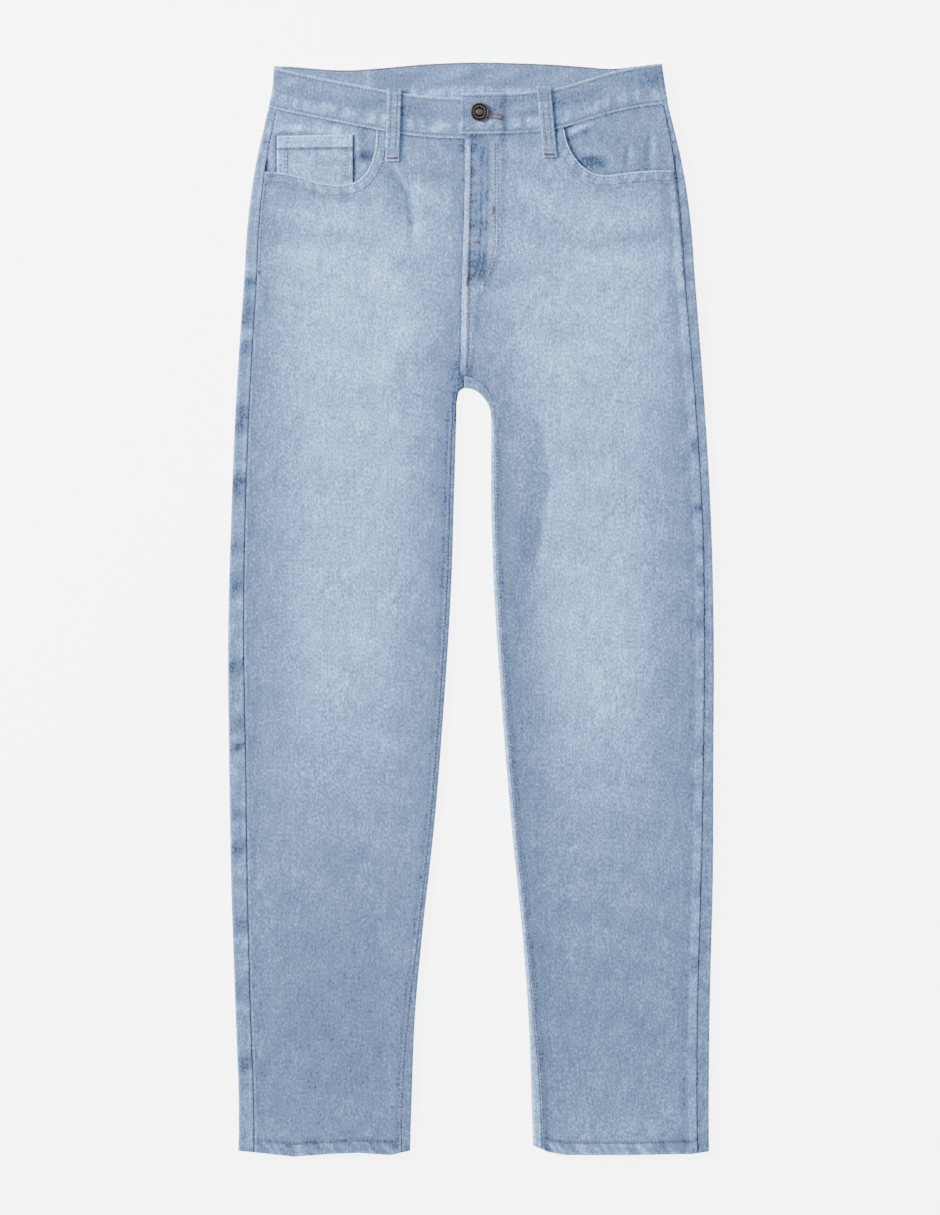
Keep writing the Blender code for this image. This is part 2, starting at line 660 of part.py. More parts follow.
def new_object(name, mesh, finish, collection):
    """An object in the collection, smooth where its faces bend gently."""
    made = bpy.data.objects.new(name, mesh)
    collection.objects.link(made)
    mesh.materials.append(finish)
    mesh.shade_smooth()
    mesh.set_sharp_from_angle(angle=math.radians(50))
    return made


def cloth(name, grids, wall, down, finish, collection, hem=None):
    """A cloth piece: grids joined where their edges meet, then Solidify inwards from the outer face."""
    shape = bmesh.new()
    for grid in grids:
        rows, columns = grid.shape[:2]
        moved = grid.copy()
        moved[..., 1] = hem_shift(grid[..., 0], grid[..., 1])
        points = [shape.verts.new(point) for point in (moved * MM).reshape(-1, 3)]
        for r in range(rows - 1):
            for c in range(columns - 1):
                corner = r * columns + c
                ring = (corner, corner + 1, corner + columns + 1, corner + columns)
                shape.faces.new([points[i] for i in ring])
    bmesh.ops.remove_doubles(shape, verts=shape.verts, dist=0.01 * MM)
    bmesh.ops.recalc_face_normals(shape, faces=shape.faces)
    lowest = min(shape.faces, key=lambda face: face.calc_center_median().z)
    highest = max(shape.faces, key=lambda face: face.calc_center_median().z)
    wrong = lowest.normal.z > 0 if down else highest.normal.z < 0
    if wrong:
        bmesh.ops.reverse_faces(shape, faces=shape.faces)
    mesh = bpy.data.meshes.new(name)
    shape.to_mesh(mesh)
    shape.free()
    made = new_object(name, mesh, finish, collection)
    shell = made.modifiers.new("wall", "SOLIDIFY")
    shell.offset = -1.0
    shell.thickness = wall * MM
    if hem:
        turned = made.vertex_groups.new(name="turned_hem")
        low = (HEM_LINE + HEM_DEPTH + 4) * MM
        turned.add([v.index for v in mesh.vertices if v.co.y < low], 1.0, "REPLACE")
        shell.thickness = hem * MM
        shell.vertex_group = turned.name
        shell.thickness_vertex_group = wall / hem
    return made


def button(finish, collection):
    """A turned jeans button: a short neck, a flat rim and a raised ring round a domed middle."""
    x, y = np.array([BUTTON_X]), np.array([BUTTON_Y])
    seat = float(top_face(x, y)[0]) + BAND + 2 * ABOVE
    r = BUTTON_RADIUS
    profile = [(row.radius * r, row.height) for row in BUTTON_PROFILE]
    shape = bmesh.new()
    verts = [shape.verts.new((px * MM, 0, (pz + seat) * MM)) for px, pz in profile]
    for pair in zip(verts, verts[1:]):
        shape.edges.new(pair)
    mesh = bpy.data.meshes.new("button")
    shape.to_mesh(mesh)
    shape.free()
    made = new_object("button", mesh, finish, collection)
    made.location = (BUTTON_X * MM, BUTTON_Y * MM, 0)
    turn = made.modifiers.new("turned", "SCREW")
    turn.steps = turn.render_steps = 24
    turn.use_merge_vertices = True
    turn.merge_threshold = 0.00001
    return made


def build():
    """Clear the scene and build every piece of the jeans."""
    for old in list(bpy.data.objects):
        bpy.data.objects.remove(old, do_unlink=True)
    jeans = bpy.data.collections.new("straight_jeans")
    bpy.context.scene.collection.children.link(jeans)

    names = {-1: "left", 1: "right"}
    for side, word in names.items():
        leg, fan = back_leg(side), crotch_fan(side)
        back = [leg, fan, back_hip(side, leg, fan)]
        cloth(f"back_{word}", back, DENIM, True, material(f"denim_back_{word}", SHADED, 0.9), jeans, HEM)
        cloth(f"yoke_{word}", [yoke(side)], DENIM, True, material(f"denim_yoke_{word}", SHADED, 0.9), jeans)
        cloth(f"front_{word}", [front_panel(side)], DENIM, False,
              material(f"denim_front_{word}", WASHED, 0.9), jeans, HEM)
        cloth(f"pocket_facing_{word}", [pocket_facing(side)], FACING, False,
              material(f"denim_facing_{word}", SHADED, 0.9), jeans)
    cloth("waistband", [waistband()], BAND, True, material("denim_band", WASHED, 0.9), jeans)
    cloth("coin_pocket", [coin_pocket()], FACING, False, material("denim_coin", WASHED, 0.9), jeans)
    for row in FRONT_LOOPS:
        cloth(row.name, [belt_loop(row, True)], LOOP, False, material(row.name, WASHED, 0.9), jeans)
    for row in BACK_LOOPS:
        cloth(row.name, [belt_loop(row, False)], LOOP, True, material(row.name, SHADED, 0.9), jeans)
    for row in BACK_POCKETS:
        cloth(row.name, [back_pocket(row)], FACING, True, material(row.name, SHADED, 0.9), jeans)
    button(material("aged_metal", STEEL, 0.45, 1.0), jeans)


build()
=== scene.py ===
# %% [markdown]
# # Light-washed straight jeans, laid flat
# A pair of jeans is flat panels of cotton twill sewn into tubes. This lesson dresses the
# fixed solids of the garment with thin cloth walls whose every point is worked out by
# numpy: a panel is a grid, one direction runs along the leg and the other across it.
# The fading is a number stored on each point, and the weave is made in the material.

# %% Set up: the frame that the cloth is fitted to
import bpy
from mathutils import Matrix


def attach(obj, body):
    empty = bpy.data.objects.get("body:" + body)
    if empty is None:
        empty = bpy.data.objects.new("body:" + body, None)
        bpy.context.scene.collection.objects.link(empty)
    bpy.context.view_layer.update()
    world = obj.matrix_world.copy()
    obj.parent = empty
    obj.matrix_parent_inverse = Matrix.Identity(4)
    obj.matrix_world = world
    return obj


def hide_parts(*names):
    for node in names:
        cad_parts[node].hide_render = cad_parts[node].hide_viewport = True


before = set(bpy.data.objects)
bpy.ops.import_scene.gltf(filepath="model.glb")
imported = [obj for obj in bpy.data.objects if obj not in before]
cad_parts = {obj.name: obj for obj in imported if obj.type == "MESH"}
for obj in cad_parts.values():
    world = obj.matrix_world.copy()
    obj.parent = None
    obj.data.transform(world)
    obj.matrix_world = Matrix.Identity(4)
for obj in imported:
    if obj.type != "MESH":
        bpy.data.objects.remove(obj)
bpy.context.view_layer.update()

import math
from collections import namedtuple

import bpy
import numpy as np

MM = 0.001
LEFT, RIGHT = -1, 1
WORD = {LEFT: "left", RIGHT: "right"}
print("nodes:", sorted(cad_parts))

# %% [markdown]
# ## Sizes
# The same few tables that a pattern cutter would pin up: the outline of the garment at
# each height, the seams' distances from it, and the waistband, pocket and fly lines.
# They repeat the sizes of the solids, in millimetres, so that the cloth lies on them.

# %% Layers and levels
DENIM, BAND, HEM, FACING, LOOP = 1.0, 1.8, 1.7, 0.9, 1.2
SEAM, CLOSED = 0.15, 0.03
ABOVE = 0.35
FACING_DROP = 2.0
LIFT, LIFT_FROM, LIFT_TO = 1.45, 190.0, 232.0
REST, ROUND, FOLD, ROLL = 2.9, 2.3, 2.6, 20.0
HEM_LINE, HEM_DEPTH = -506.5, 12.0
CROTCH_FOOT, UNDER_CURVE = 178.0, 12.0
BAND_DEPTH = 38.0
YOKE_SIDE, YOKE_BACK = 434.0, 398.0
CENTRE_BACK = -6.0

# %% Outline, seams and fly
Side = namedtuple("Side", "y left right seam_left seam_right")
SIDES = [
    Side(-515, -216.5, 221.5, 15.0, 10.5), Side(-475, -216.0, 221.3, 14.5, 11.0),
    Side(-363, -219.5, 222.3, 14.5, 11.5), Side(-251, -223.2, 225.1, 15.5, 11.0),
    Side(-140, -225.1, 225.6, 16.0, 9.5), Side(-28, -226.0, 226.0, 15.0, 8.8),
    Side(83, -223.2, 223.4, 13.5, 8.0), Side(195, -218.6, 217.0, 13.0, 8.5),
    Side(306, -211.1, 208.5, 12.0, 9.5), Side(362, -207.4, 204.2, 11.0, 9.0),
    Side(418, -199.3, 195.6, 9.5, 6.5), Side(448, -192.6, 188.6, 8.5, 5.0),
    Side(470, -187.6, 183.4, 8.0, 4.5), Side(482, -185.2, 181.4, 8.0, 4.5),
    Side(515, -183.0, 176.6, 8.0, 4.5),
]
Inner = namedtuple("Inner", "y left right seam_left seam_right")
INNERS = [
    Inner(-515, -56.6, 57.6, 8.5, 9.0), Inner(-440, -54.4, 55.6, 8.5, 8.0),
    Inner(-380, -52.0, 53.4, 6.0, 4.8), Inner(-307, -45.6, 48.0, 3.8, 3.8),
    Inner(-196, -33.5, 37.0, 3.8, 3.8), Inner(-84, -24.6, 28.0, 3.8, 3.8),
    Inner(27, -17.9, 20.8, 3.8, 3.8), Inner(110, -15.4, 18.4, 3.8, 3.8),
    Inner(178, -13.4, 18.6, 3.8, 3.8),
]
Crotch = namedtuple("Crotch", "x y toward flap")
CROTCH = {
    LEFT: [Crotch(-13.4, 178.0, 180, 3.8), Crotch(-12.5, 196.0, 168, 3.8),
           Crotch(-10.2, 203.4, 128, 4.6), Crotch(-6.0, 205.6, 90, 11.5)],
    RIGHT: [Crotch(18.6, 178.0, 0, 3.8), Crotch(17.2, 187.0, 22, 5.0), Crotch(12.6, 195.4, 52, 8.0),
            Crotch(6.4, 201.8, 72, 9.6), Crotch(0.4, 204.8, 84, 11.0), Crotch(-6.0, 205.6, 90, 11.5)],
}
Fly = namedtuple("Fly", "y edge under")
FLY = [
    Fly(210, -10.0, 4.0), Fly(218, -10.0, 4.0), Fly(240, -9.4, 8.0), Fly(285, -8.8, 9.0),
    Fly(305, -8.4, 20.0), Fly(330, -7.6, 29.0), Fly(380, -6.2, 31.0), Fly(445, -5.6, 31.0),
]

# %% Waistband, pocket mouths and hem edge
Band = namedtuple("Band", "x top")
BAND_LEFT = [
    Band(-190, 505.3), Band(-170, 500.3), Band(-143, 494.8), Band(-116, 489.3), Band(-90, 484.4),
    Band(-62, 479.4), Band(-35, 476.5), Band(-9, 475.6), Band(30, 475.8),
]
BAND_RIGHT = [
    Band(-12, 479.6), Band(16, 479.9), Band(41, 480.3), Band(60, 481.6), Band(74, 483.4),
    Band(88, 486.4), Band(109, 492.8), Band(135, 500.4), Band(154, 504.4), Band(171, 506.6),
    Band(184, 508.0),
]
BAND_BACK = [
    Band(-190, 505.3), Band(-159, 504.2), Band(-143, 502.6), Band(-117, 501.4), Band(-89, 502.9),
    Band(-38, 507.2), Band(0, 508.6), Band(42, 508.0), Band(83, 506.2), Band(111, 504.0),
    Band(126, 502.6), Band(154, 505.0), Band(184, 508.0),
]
BAND_END_LEFT, BAND_END_RIGHT = 25.0, -9.5
Mouth = namedtuple("Mouth", "x y")
MOUTHS = {
    LEFT: [Mouth(-190.5, 406.6), Mouth(-173, 405.2), Mouth(-158, 401.6), Mouth(-141, 396.4),
           Mouth(-126, 394.5), Mouth(-115, 395.0), Mouth(-105, 398.6), Mouth(-97, 406.4),
           Mouth(-91.5, 418.0), Mouth(-88.6, 432.0), Mouth(-88.0, 446.5)],
    RIGHT: [Mouth(187.6, 407.8), Mouth(171, 407.8), Mouth(155, 406.8), Mouth(139, 405.0),
            Mouth(125, 403.4), Mouth(114, 405.4), Mouth(104, 411.6), Mouth(96, 420.6),
            Mouth(90, 431.6), Mouth(86, 447.5)],
}
FACING_SIDE = {LEFT: -72.0, RIGHT: 70.0}
FACING_FOOT, FACING_CORNER = 380.0, 30.0
HemEdge = namedtuple("HemEdge", "x rise")
HEM_EDGE = [
    HemEdge(-217, 3.6), HemEdge(-201, 2.0), HemEdge(-165, -2.0), HemEdge(-126, 0.7),
    HemEdge(-104, 1.5), HemEdge(-75, -0.6), HemEdge(-57, 3.6), HemEdge(0, 6.0), HemEdge(58, 8.5),
    HemEdge(71, 2.6), HemEdge(88, -0.6), HemEdge(145, -0.6), HemEdge(205, 0.4), HemEdge(222, 3.0),
]

# %% [markdown]
# ## Curves
# Every seam is a smooth curve through a few rows of a table. Between two rows the curve
# is a cubic whose end slopes come from the neighbouring rows, which bends softly and
# never wobbles the way one long polynomial would.

# %% Curve helpers
def cubic(run, values, at):
    """Cubic through the values: (1+2t)(1-t)^2 and its mirror mix the ends, t(1-t)^2 mixes their slopes."""
    run, values, at = (np.asarray(v, float) for v in (run, values, at))
    slope = np.gradient(values, run, axis=0)
    i = np.clip(np.searchsorted(run, at) - 1, 0, len(run) - 2)
    width = run[i + 1] - run[i]
    t = (at - run[i]) / width
    if values.ndim > 1:
        t, width = t[..., None], width[..., None]
    return ((1 + 2 * t) * (1 - t) ** 2 * values[i] + t * (1 - t) ** 2 * width * slope[i]
            + t * t * (3 - 2 * t) * values[i + 1] - t * t * (1 - t) * width * slope[i + 1])


def column(rows, name):
    """One named column of a table."""
    return np.array([getattr(row, name) for row in rows], float)


def smooth(rows, key, name, at):
    """A table's column read as a smooth curve."""
    return cubic(column(rows, key), column(rows, name), at)


def ease(value):
    """Smooth step from 0 to 1: 3v^2 - 2v^3."""
    value = np.clip(value, 0.0, 1.0)
    return value * value * (3 - 2 * value)


def bell(gap, width):
    """1 on a line and less to both sides of it: exp(-(gap / width)^2)."""
    return np.exp(-(gap / width) ** 2)


def blend(start, end, share):
    """Straight mix of two values or points."""
    return start + (end - start) * share


def along(points, share):
    """Points at given shares of the length of a smooth curve through the given ones."""
    points = np.asarray(points, float)
    run = np.concatenate([[0], np.cumsum(np.hypot(*np.diff(points[:, :2], axis=0).T))])
    return cubic(run / run[-1], points, np.asarray(share, float))


def crowd(share, amount=0.55):
    """Shares moved towards both ends, so that a grid is finest at its seams."""
    return share - amount * np.sin(2 * math.pi * share) / (2 * math.pi)


def outer_edge(side, y):
    """Where a leg's outer fold lies at a height."""
    return smooth(SIDES, "y", WORD[side], y)


def side_seam(side, y):
    """Distance of the side seam from the outer edge."""
    return smooth(SIDES, "y", "seam_" + WORD[side], y)


def inner_edge(side, y):
    """Where a leg's inner fold lies at a height."""
    return smooth(INNERS, "y", WORD[side], y)


def inseam(side, y):
    """Distance of the inseam from the leg's inner edge."""
    return smooth(INNERS, "y", "seam_" + WORD[side], y)


def fly_edge(y):
    """Edge of the right front over the fly."""
    return smooth(FLY, "y", "edge", y)


def fly_under(y):
    """How far the left front reaches under the right one."""
    return np.interp(y, column(FLY, "y"), column(FLY, "under"))


def band_top(table, x):
    """Top edge of the waistband along one of its tables."""
    return smooth(table, "x", "top", x)


def waist_line(x):
    """Lower seam of the waistband on the front."""
    join = ease((np.asarray(x, float) + 12) / 40)
    left = band_top(BAND_LEFT, np.minimum(x, 30))
    right = band_top(BAND_RIGHT, np.maximum(x, -12))
    return blend(left, right, join) - BAND_DEPTH


def crotch_arrays(side, count):
    """Edge points, directions into the cloth and flap lengths round one side of the crotch."""
    rows = along(np.array(CROTCH[side]), np.linspace(0, 1, count + 1))
    turn = np.radians(rows[:, 2])
    edge = rows[:, :2].copy()
    edge[-1, 0] += side * CLOSED
    return edge, np.stack([np.cos(turn), np.sin(turn)], axis=1), rows[:, 3]


def to_lines(x, y, start, end):
    """Distance from points to the nearest of some straight pieces: project, clamp, measure."""
    point = np.stack([x, y], axis=-1)[..., None, :]
    run = end - start
    share = ((point - start) * run).sum(-1) / np.maximum((run * run).sum(-1), 1e-9)
    foot = start + np.clip(share, 0, 1)[..., None] * run
    return np.sqrt(((point - foot) ** 2).sum(-1)).min(-1)


def to_path(x, y, points):
    """Distance from points to a bent line."""
    points = np.asarray(points, float)
    return to_lines(x, y, points[:-1], points[1:])


def folded_outline():
    """The folded edges as runs of points: both sides, and the inner legs with the crotch."""
    tall = np.linspace(HEM_LINE - 10, 515, 45)
    low = np.linspace(HEM_LINE - 10, CROTCH_FOOT, 30)
    runs = [np.stack([outer_edge(side, tall), tall], axis=1) for side in (LEFT, RIGHT)]
    for side in (LEFT, RIGHT):
        leg = np.stack([inner_edge(side, low), low], axis=1)
        runs.append(np.concatenate([leg, crotch_arrays(side, 6)[0][1:]]))
    return runs


OUTLINE = folded_outline()
print("flat width at the hip:", round(float(outer_edge(RIGHT, 250) - outer_edge(LEFT, 250))), "mm")

# %% [markdown]
# ## The lie of the cloth
# Laid flat, a leg is two layers of denim with air between them only where they roll
# round the edges. The upper face is one height map: the flat stack, thicker at folds,
# hems, pockets and the waist, plus the soft creases. Creases are placed as ridges
# (positive) and troughs (negative) of uneven length, height and width.

# %% Creases of the front
Crease = namedtuple("Crease", "x0 y0 x1 y1 height width")
FRONT_CREASES = [
    Crease(-30, 262, -96, 190, 1.0, 14), Crease(28, 330, 76, 268, 0.8, 13),
    Crease(8, 252, 30, 194, 1.5, 13), Crease(30, 194, 45, 140, 1.6, 13), Crease(45, 140, 42, 60, 1.5, 13),
    Crease(-90, 424, -78, 396, 0.9, 9), Crease(-78, 396, -74, 350, 0.8, 12),
    Crease(-62, 250, -52, 130, 0.8, 15), Crease(42, 60, 28, -30, 1.0, 12),
    Crease(-120, -60, -150, -190, 0.8, 24), Crease(120, -40, 146, -170, 0.8, 24),
    Crease(-20, 300, -70, 330, -0.6, 6), Crease(-24, 276, -86, 292, 0.7, 8),
    Crease(30, 300, 110, 324, -0.6, 6), Crease(28, 282, 96, 290, 0.6, 8),
    Crease(-188, 352, -120, 342, -0.6, 5), Crease(-190, 334, -134, 330, 0.5, 7),
    Crease(190, 350, 120, 338, -0.6, 5), Crease(192, 330, 128, 322, 0.5, 7),
    Crease(-190, 291, -144, 277, -0.7, 4), Crease(-196, 262, -160, 250, -0.5, 5),
    Crease(194, 372, 150, 366, -0.5, 5), Crease(200, 268, 168, 250, -0.6, 5),
    Crease(-150, 128, -110, 100, -0.6, 8), Crease(150, 96, 186, 70, -0.5, 9),
    Crease(-40, 60, -30, -60, 0.8, 9), Crease(-96, -230, -84, -330, -0.7, 9),
    Crease(-188, -250, -176, -390, 0.7, 12), Crease(96, -220, 88, -340, -0.7, 9),
    Crease(176, -240, 186, -380, 0.7, 12), Crease(150, -420, 190, -470, -0.7, 7),
    Crease(-150, -430, -110, -476, 0.7, 8), Crease(80, -400, 116, -470, 0.7, 8),
    Crease(-196, -420, -160, -468, -0.6, 7), Crease(-92, -380, -70, -452, -0.6, 6),
    Crease(10, 268, 20, 232, -0.8, 4), Crease(34, 420, 52, 366, -0.7, 4),
    Crease(44, 436, 66, 392, 0.7, 6), Crease(-26, 430, -22, 330, -0.6, 6),
    Crease(60, 418, 78, 396, -0.7, 4), Crease(30, 396, 60, 340, 0.6, 8),
]

# Deep folds: a run of points, and how far the valley reaches to its left and right
Fold = namedtuple("Fold", "points depth left right")
FRONT_FOLDS = [
    Fold([(50, 205), (60.5, 179), (67, 148), (71.6, 120), (68.8, 102), (65, 74), (59.5, 46), (55.8, 25), (50, 0)],
         2.0, 15, 3.6),
    Fold([(-79, 427), (-69.8, 401), (-59.5, 385), (-55.8, 369), (-56.7, 346)], 1.9, 11, 3.0),
    Fold([(-66, 230), (-62, 220), (-58, 208)], 1.1, 6, 2.6),
    Fold([(-104, 208), (-92, 192), (-81, 176)], 0.9, 9, 5),
    Fold([(76, 426), (84, 404), (96, 392)], 0.9, 6, 3),
    Fold([(24, 226), (34, 204), (38, 186)], 0.8, 8, 4),
]

# %% Height of every layer
def creases(rows, x, y):
    """Sum of ridges: height times exp(-(distance / width)^2)."""
    total = np.zeros(np.shape(x))
    for row in rows:
        gap = to_lines(x, y, np.array([[row.x0, row.y0]]), np.array([[row.x1, row.y1]]))
        total += row.height * bell(gap, row.width)
    return total


def folded(rows, x, y):
    """Sum of valleys: -depth times exp(-(d / width)^2), with a width for each side and faded ends."""
    total = np.zeros(np.shape(x))
    for row in rows:
        points = np.array(row.points, float)
        start, run = points[:-1], np.diff(points, axis=0)
        gap_x, gap_y = x[..., None] - start[:, 0], y[..., None] - start[:, 1]
        share = (gap_x * run[:, 0] + gap_y * run[:, 1]) / (run ** 2).sum(1)
        held = np.clip(share, 0, 1)
        gap = np.hypot(gap_x - held * run[:, 0], gap_y - held * run[:, 1])
        nearest = gap.argmin(axis=-1)[..., None]
        aside = np.take_along_axis(gap_x * run[:, 1] - gap_y * run[:, 0], nearest, -1)[..., 0]
        gap = np.take_along_axis(gap, nearest, -1)[..., 0]
        way = (np.take_along_axis(held, nearest, -1)[..., 0] + nearest[..., 0]) / len(run)
        downward = np.sign(points[0, 1] - points[-1, 1])
        width = np.where(aside * downward > 0, row.left, row.right)
        total -= row.depth * bell(gap, width) * ease(way * 4) * ease((1 - way) * 3)
    return total


def ripple(x, y, pitch, seed):
    """Even, never-repeating unevenness: seven sine waves with seeded directions and lengths."""
    rng = np.random.default_rng(seed)
    total = np.zeros(np.shape(x))
    for _ in range(7):
        turn, size, phase = rng.uniform(0, math.pi), rng.uniform(0.7, 1.6), rng.uniform(0, 6.3)
        total += np.sin((x * math.cos(turn) + y * math.sin(turn)) * 2 * math.pi / (pitch * size) + phase)
    return total / 7


def from_edge(x, y):
    """Distance from the nearest folded edge."""
    return np.minimum.reduce([to_path(x, y, run) for run in OUTLINE])


def under_face(y):
    """Height of the back layer's outer face above the floor."""
    return LIFT * ease((np.asarray(y, float) - LIFT_FROM) / (LIFT_TO - LIFT_FROM))


def pocket_zone(x, y):
    """1 over the pocket facings, easing to 0 around them."""
    left = ease((FACING_SIDE[LEFT] + 44 - x) / 22)
    right = ease((x - FACING_SIDE[RIGHT] + 44) / 22)
    return np.maximum(left, right) * ease((y - FACING_FOOT + 44) / 22)


HEM_FULL, WAIST_FULL, POCKET_FULL = 0.74, 0.74, 0.66


def top_face(x, y):
    """Height of the front's outer face: flat stack, rolled edges, hem, waist, pockets and creases."""
    x, y = np.broadcast_arrays(np.asarray(x, float), np.asarray(y, float))
    roll = bell(np.maximum(from_edge(x, y) - FOLD, 0), ROLL)
    hem = bell(np.maximum(y - HEM_LINE - HEM_DEPTH - 3, 0), 16)
    waist = bell(np.minimum(y - waist_line(x), 0), 20)
    thick = 1 - (1 - roll) * (1 - HEM_FULL * hem) * (1 - WAIST_FULL * waist) * (1 - POCKET_FULL * pocket_zone(x, y))
    loose = (1 - roll) * (1 - waist)
    folds = creases(FRONT_CREASES, x, y) + folded(FRONT_FOLDS, x, y)
    folds = folds + 0.55 * ripple(x, y, 60, 3) + 0.30 * ripple(x, y, 24, 5)
    return under_face(y) + REST + ROUND * thick + folds * loose


def hem_shift(x, y):
    """The hem's edge wanders off its straight line, and the cloth above follows it a little way."""
    rise = np.interp(x, column(HEM_EDGE, "x"), column(HEM_EDGE, "rise"))
    return y + rise * ease(1 - (y - HEM_LINE) / 60)


check = top_face(np.array([-120.0, 0.0]), np.array([-200.0, 300.0]))
print("upper face over the shin and at the fly:", check.round(2), "mm")

# %% [markdown]
# ## Fading
# Light-washed denim is palest where a body pushes it out: thighs, knees, the edges of
# every seam. Lower legs and the strips beside the side seams stay bluer, and where a
# seam puckers, its high spots wear white while its hollows stay dark. One number a
# point, the tone, holds all of this: 0 is deep blue and 1 nearly white. The tone also
# holds painted shade and shadows: along fold valleys, beside loops and the fly edge,
# under the waistband and at the crotch.

# %% Tone of the cloth
Glow = namedtuple("Glow", "y left right width")
GLOWS = [
    Glow(-520, -0.04, 0.13, 60), Glow(-400, -0.15, -0.03, 60), Glow(-300, -0.09, 0.00, 58),
    Glow(-220, 0.00, 0.06, 55), Glow(-140, 0.12, 0.18, 50), Glow(-60, 0.25, 0.32, 52),
    Glow(40, 0.26, 0.31, 60), Glow(140, 0.26, 0.26, 66), Glow(240, 0.29, 0.30, 80),
    Glow(320, 0.30, 0.28, 86), Glow(380, 0.20, 0.20, 80), Glow(440, 0.11, 0.11, 70),
]
ToneLine = namedtuple("ToneLine", "x0 y0 x1 y1 tone width")
WHISKERS_AND_FOLD_SHADE = [
    ToneLine(-176, 385, -96, 380, -0.12, 5), ToneLine(176, 388, 116, 386, -0.08, 5),
    ToneLine(-60, 408, -20, 402, -0.10, 7), ToneLine(-52, 392, -22, 378, 0.10, 8),
    ToneLine(34, 416, 62, 404, -0.12, 6), ToneLine(40, 396, 70, 380, 0.07, 8),
    ToneLine(-190, 291, -150, 279, -0.10, 4), ToneLine(-88, 396, -66, 360, -0.08, 10),
    ToneLine(30, 372, 90, 344, -0.07, 9), ToneLine(-30, 360, -80, 330, 0.06, 12),
    ToneLine(-36, 250, -20, 150, -0.10, 14), ToneLine(-28, 150, -30, 20, -0.08, 9),
    ToneLine(-190, 372, -110, 360, 0.08, 6), ToneLine(-192, 348, -96, 344, -0.09, 6),
    ToneLine(-196, 326, -120, 328, 0.07, 6), ToneLine(-60, 320, -24, 296, -0.10, 10),
    ToneLine(-44, 292, -20, 262, -0.08, 9), ToneLine(60, 322, 26, 300, -0.08, 9),
    ToneLine(190, 372, 120, 360, 0.08, 6), ToneLine(194, 350, 110, 338, -0.08, 6),
    ToneLine(196, 326, 130, 318, 0.07, 6), ToneLine(80, 300, 36, 262, -0.07, 10),
    ToneLine(40, 270, 90, 214, 0.06, 9), ToneLine(-56, 262, -100, 214, 0.06, 9),
    # The rows from here on are painted light and shade of the folds: dark lines along the fold valleys, a pale line
    # on the lit side of the hip fold, and a wide band that sets the shade beside the right leg's fold.
    ToneLine(-66, 236, -62, 190, -0.10, 7), ToneLine(-72, 404, -60, 386, -0.26, 2.6),
    ToneLine(-60, 386, -56.5, 360, -0.26, 2.6), ToneLine(-56.5, 360, -57, 338, -0.16, 3.2),
    ToneLine(-51, 378, -50, 350, 0.10, 4.5), ToneLine(62, 172, 71, 122, -0.14, 2.6),
    ToneLine(71, 122, 58, 40, -0.10, 2.8), ToneLine(44, 200, 58, 120, 0.05, 12),
    ToneLine(56, 130, 46, 10, -0.02, 12),
]
LOOP_SHADES = -62.6, 78.0
Patch = namedtuple("Patch", "side y half tone")
PATCHES = [
    Patch(LEFT, 305, 5, -0.34), Patch(LEFT, 276, 14, -0.32), Patch(LEFT, 244, 8, -0.26),
    Patch(LEFT, 179, 14, -0.36), Patch(LEFT, 116, 13, -0.36), Patch(LEFT, 60, 9, -0.22),
    Patch(LEFT, 28, 12, -0.28), Patch(LEFT, -52, 9, -0.40), Patch(LEFT, -106, 8, -0.28),
    Patch(LEFT, -125, 4, -0.38), Patch(LEFT, -188, 5, -0.20), Patch(LEFT, -219, 7, -0.40),
    Patch(LEFT, -290, 9, -0.26), Patch(LEFT, -352, 12, -0.22), Patch(LEFT, -420, 10, -0.30),
    Patch(RIGHT, 152, 8, -0.42), Patch(RIGHT, 115, 5, -0.24), Patch(RIGHT, 94, 5, -0.40),
    Patch(RIGHT, 56, 4, -0.24), Patch(RIGHT, 29, 8, -0.40), Patch(RIGHT, -12, 8, -0.36),
    Patch(RIGHT, -70, 7, -0.24), Patch(RIGHT, -130, 6, -0.30), Patch(RIGHT, -196, 8, -0.26),
    Patch(RIGHT, -262, 7, -0.28), Patch(RIGHT, -330, 9, -0.30), Patch(RIGHT, -410, 8, -0.26),
    Patch(RIGHT, 230, 9, -0.26), Patch(RIGHT, 290, 7, -0.24),
]


def leg_glow(x, y):
    """The pale stretch down each thigh and knee: a wide bell across the leg, its strength by height."""
    total = np.zeros(np.shape(x))
    for side in (LEFT, RIGHT):
        low = np.minimum(y, CROTCH_FOOT)
        inner = inner_edge(side, low)
        middle = blend(inner, outer_edge(side, y), 0.46)
        wide = smooth(GLOWS, "y", "width", y)
        bell = np.exp(-((x - middle) / wide) ** 4) * (x * side > -9)
        total += smooth(GLOWS, "y", WORD[side], y) * bell
    return total


def streaks(x, y):
    """Lines of tone, the same ridges as creases: whisker fades, and painted shade and highlights along the folds."""
    total = np.zeros(np.shape(x))
    for row in WHISKERS_AND_FOLD_SHADE:
        gap = to_lines(x, y, np.array([[row.x0, row.y0]]), np.array([[row.x1, row.y1]]))
        total += row.tone * bell(gap, row.width)
    return total


def roping(run, seed, pitch=9.0):
    """Wear along a puckered seam: waves of two uneven lengths, sharpened towards 1 and -1."""
    wave = np.sin(2 * math.pi * run / pitch + 1.7 * np.sin(2 * math.pi * run / (pitch * 4.3) + seed))
    slow = np.sin(2 * math.pi * run / (pitch * 2.6) + 2.1 * seed)
    return np.tanh(1.6 * (0.7 * wave + 0.5 * slow))


def seam_patches(side, y):
    """Dark blue patches along a side seam."""
    total = np.zeros(np.shape(y))
    for row in PATCHES:
        if row.side == side:
            total += row.tone * np.exp(-(np.abs(y - row.y) / row.half) ** 4)
    return total


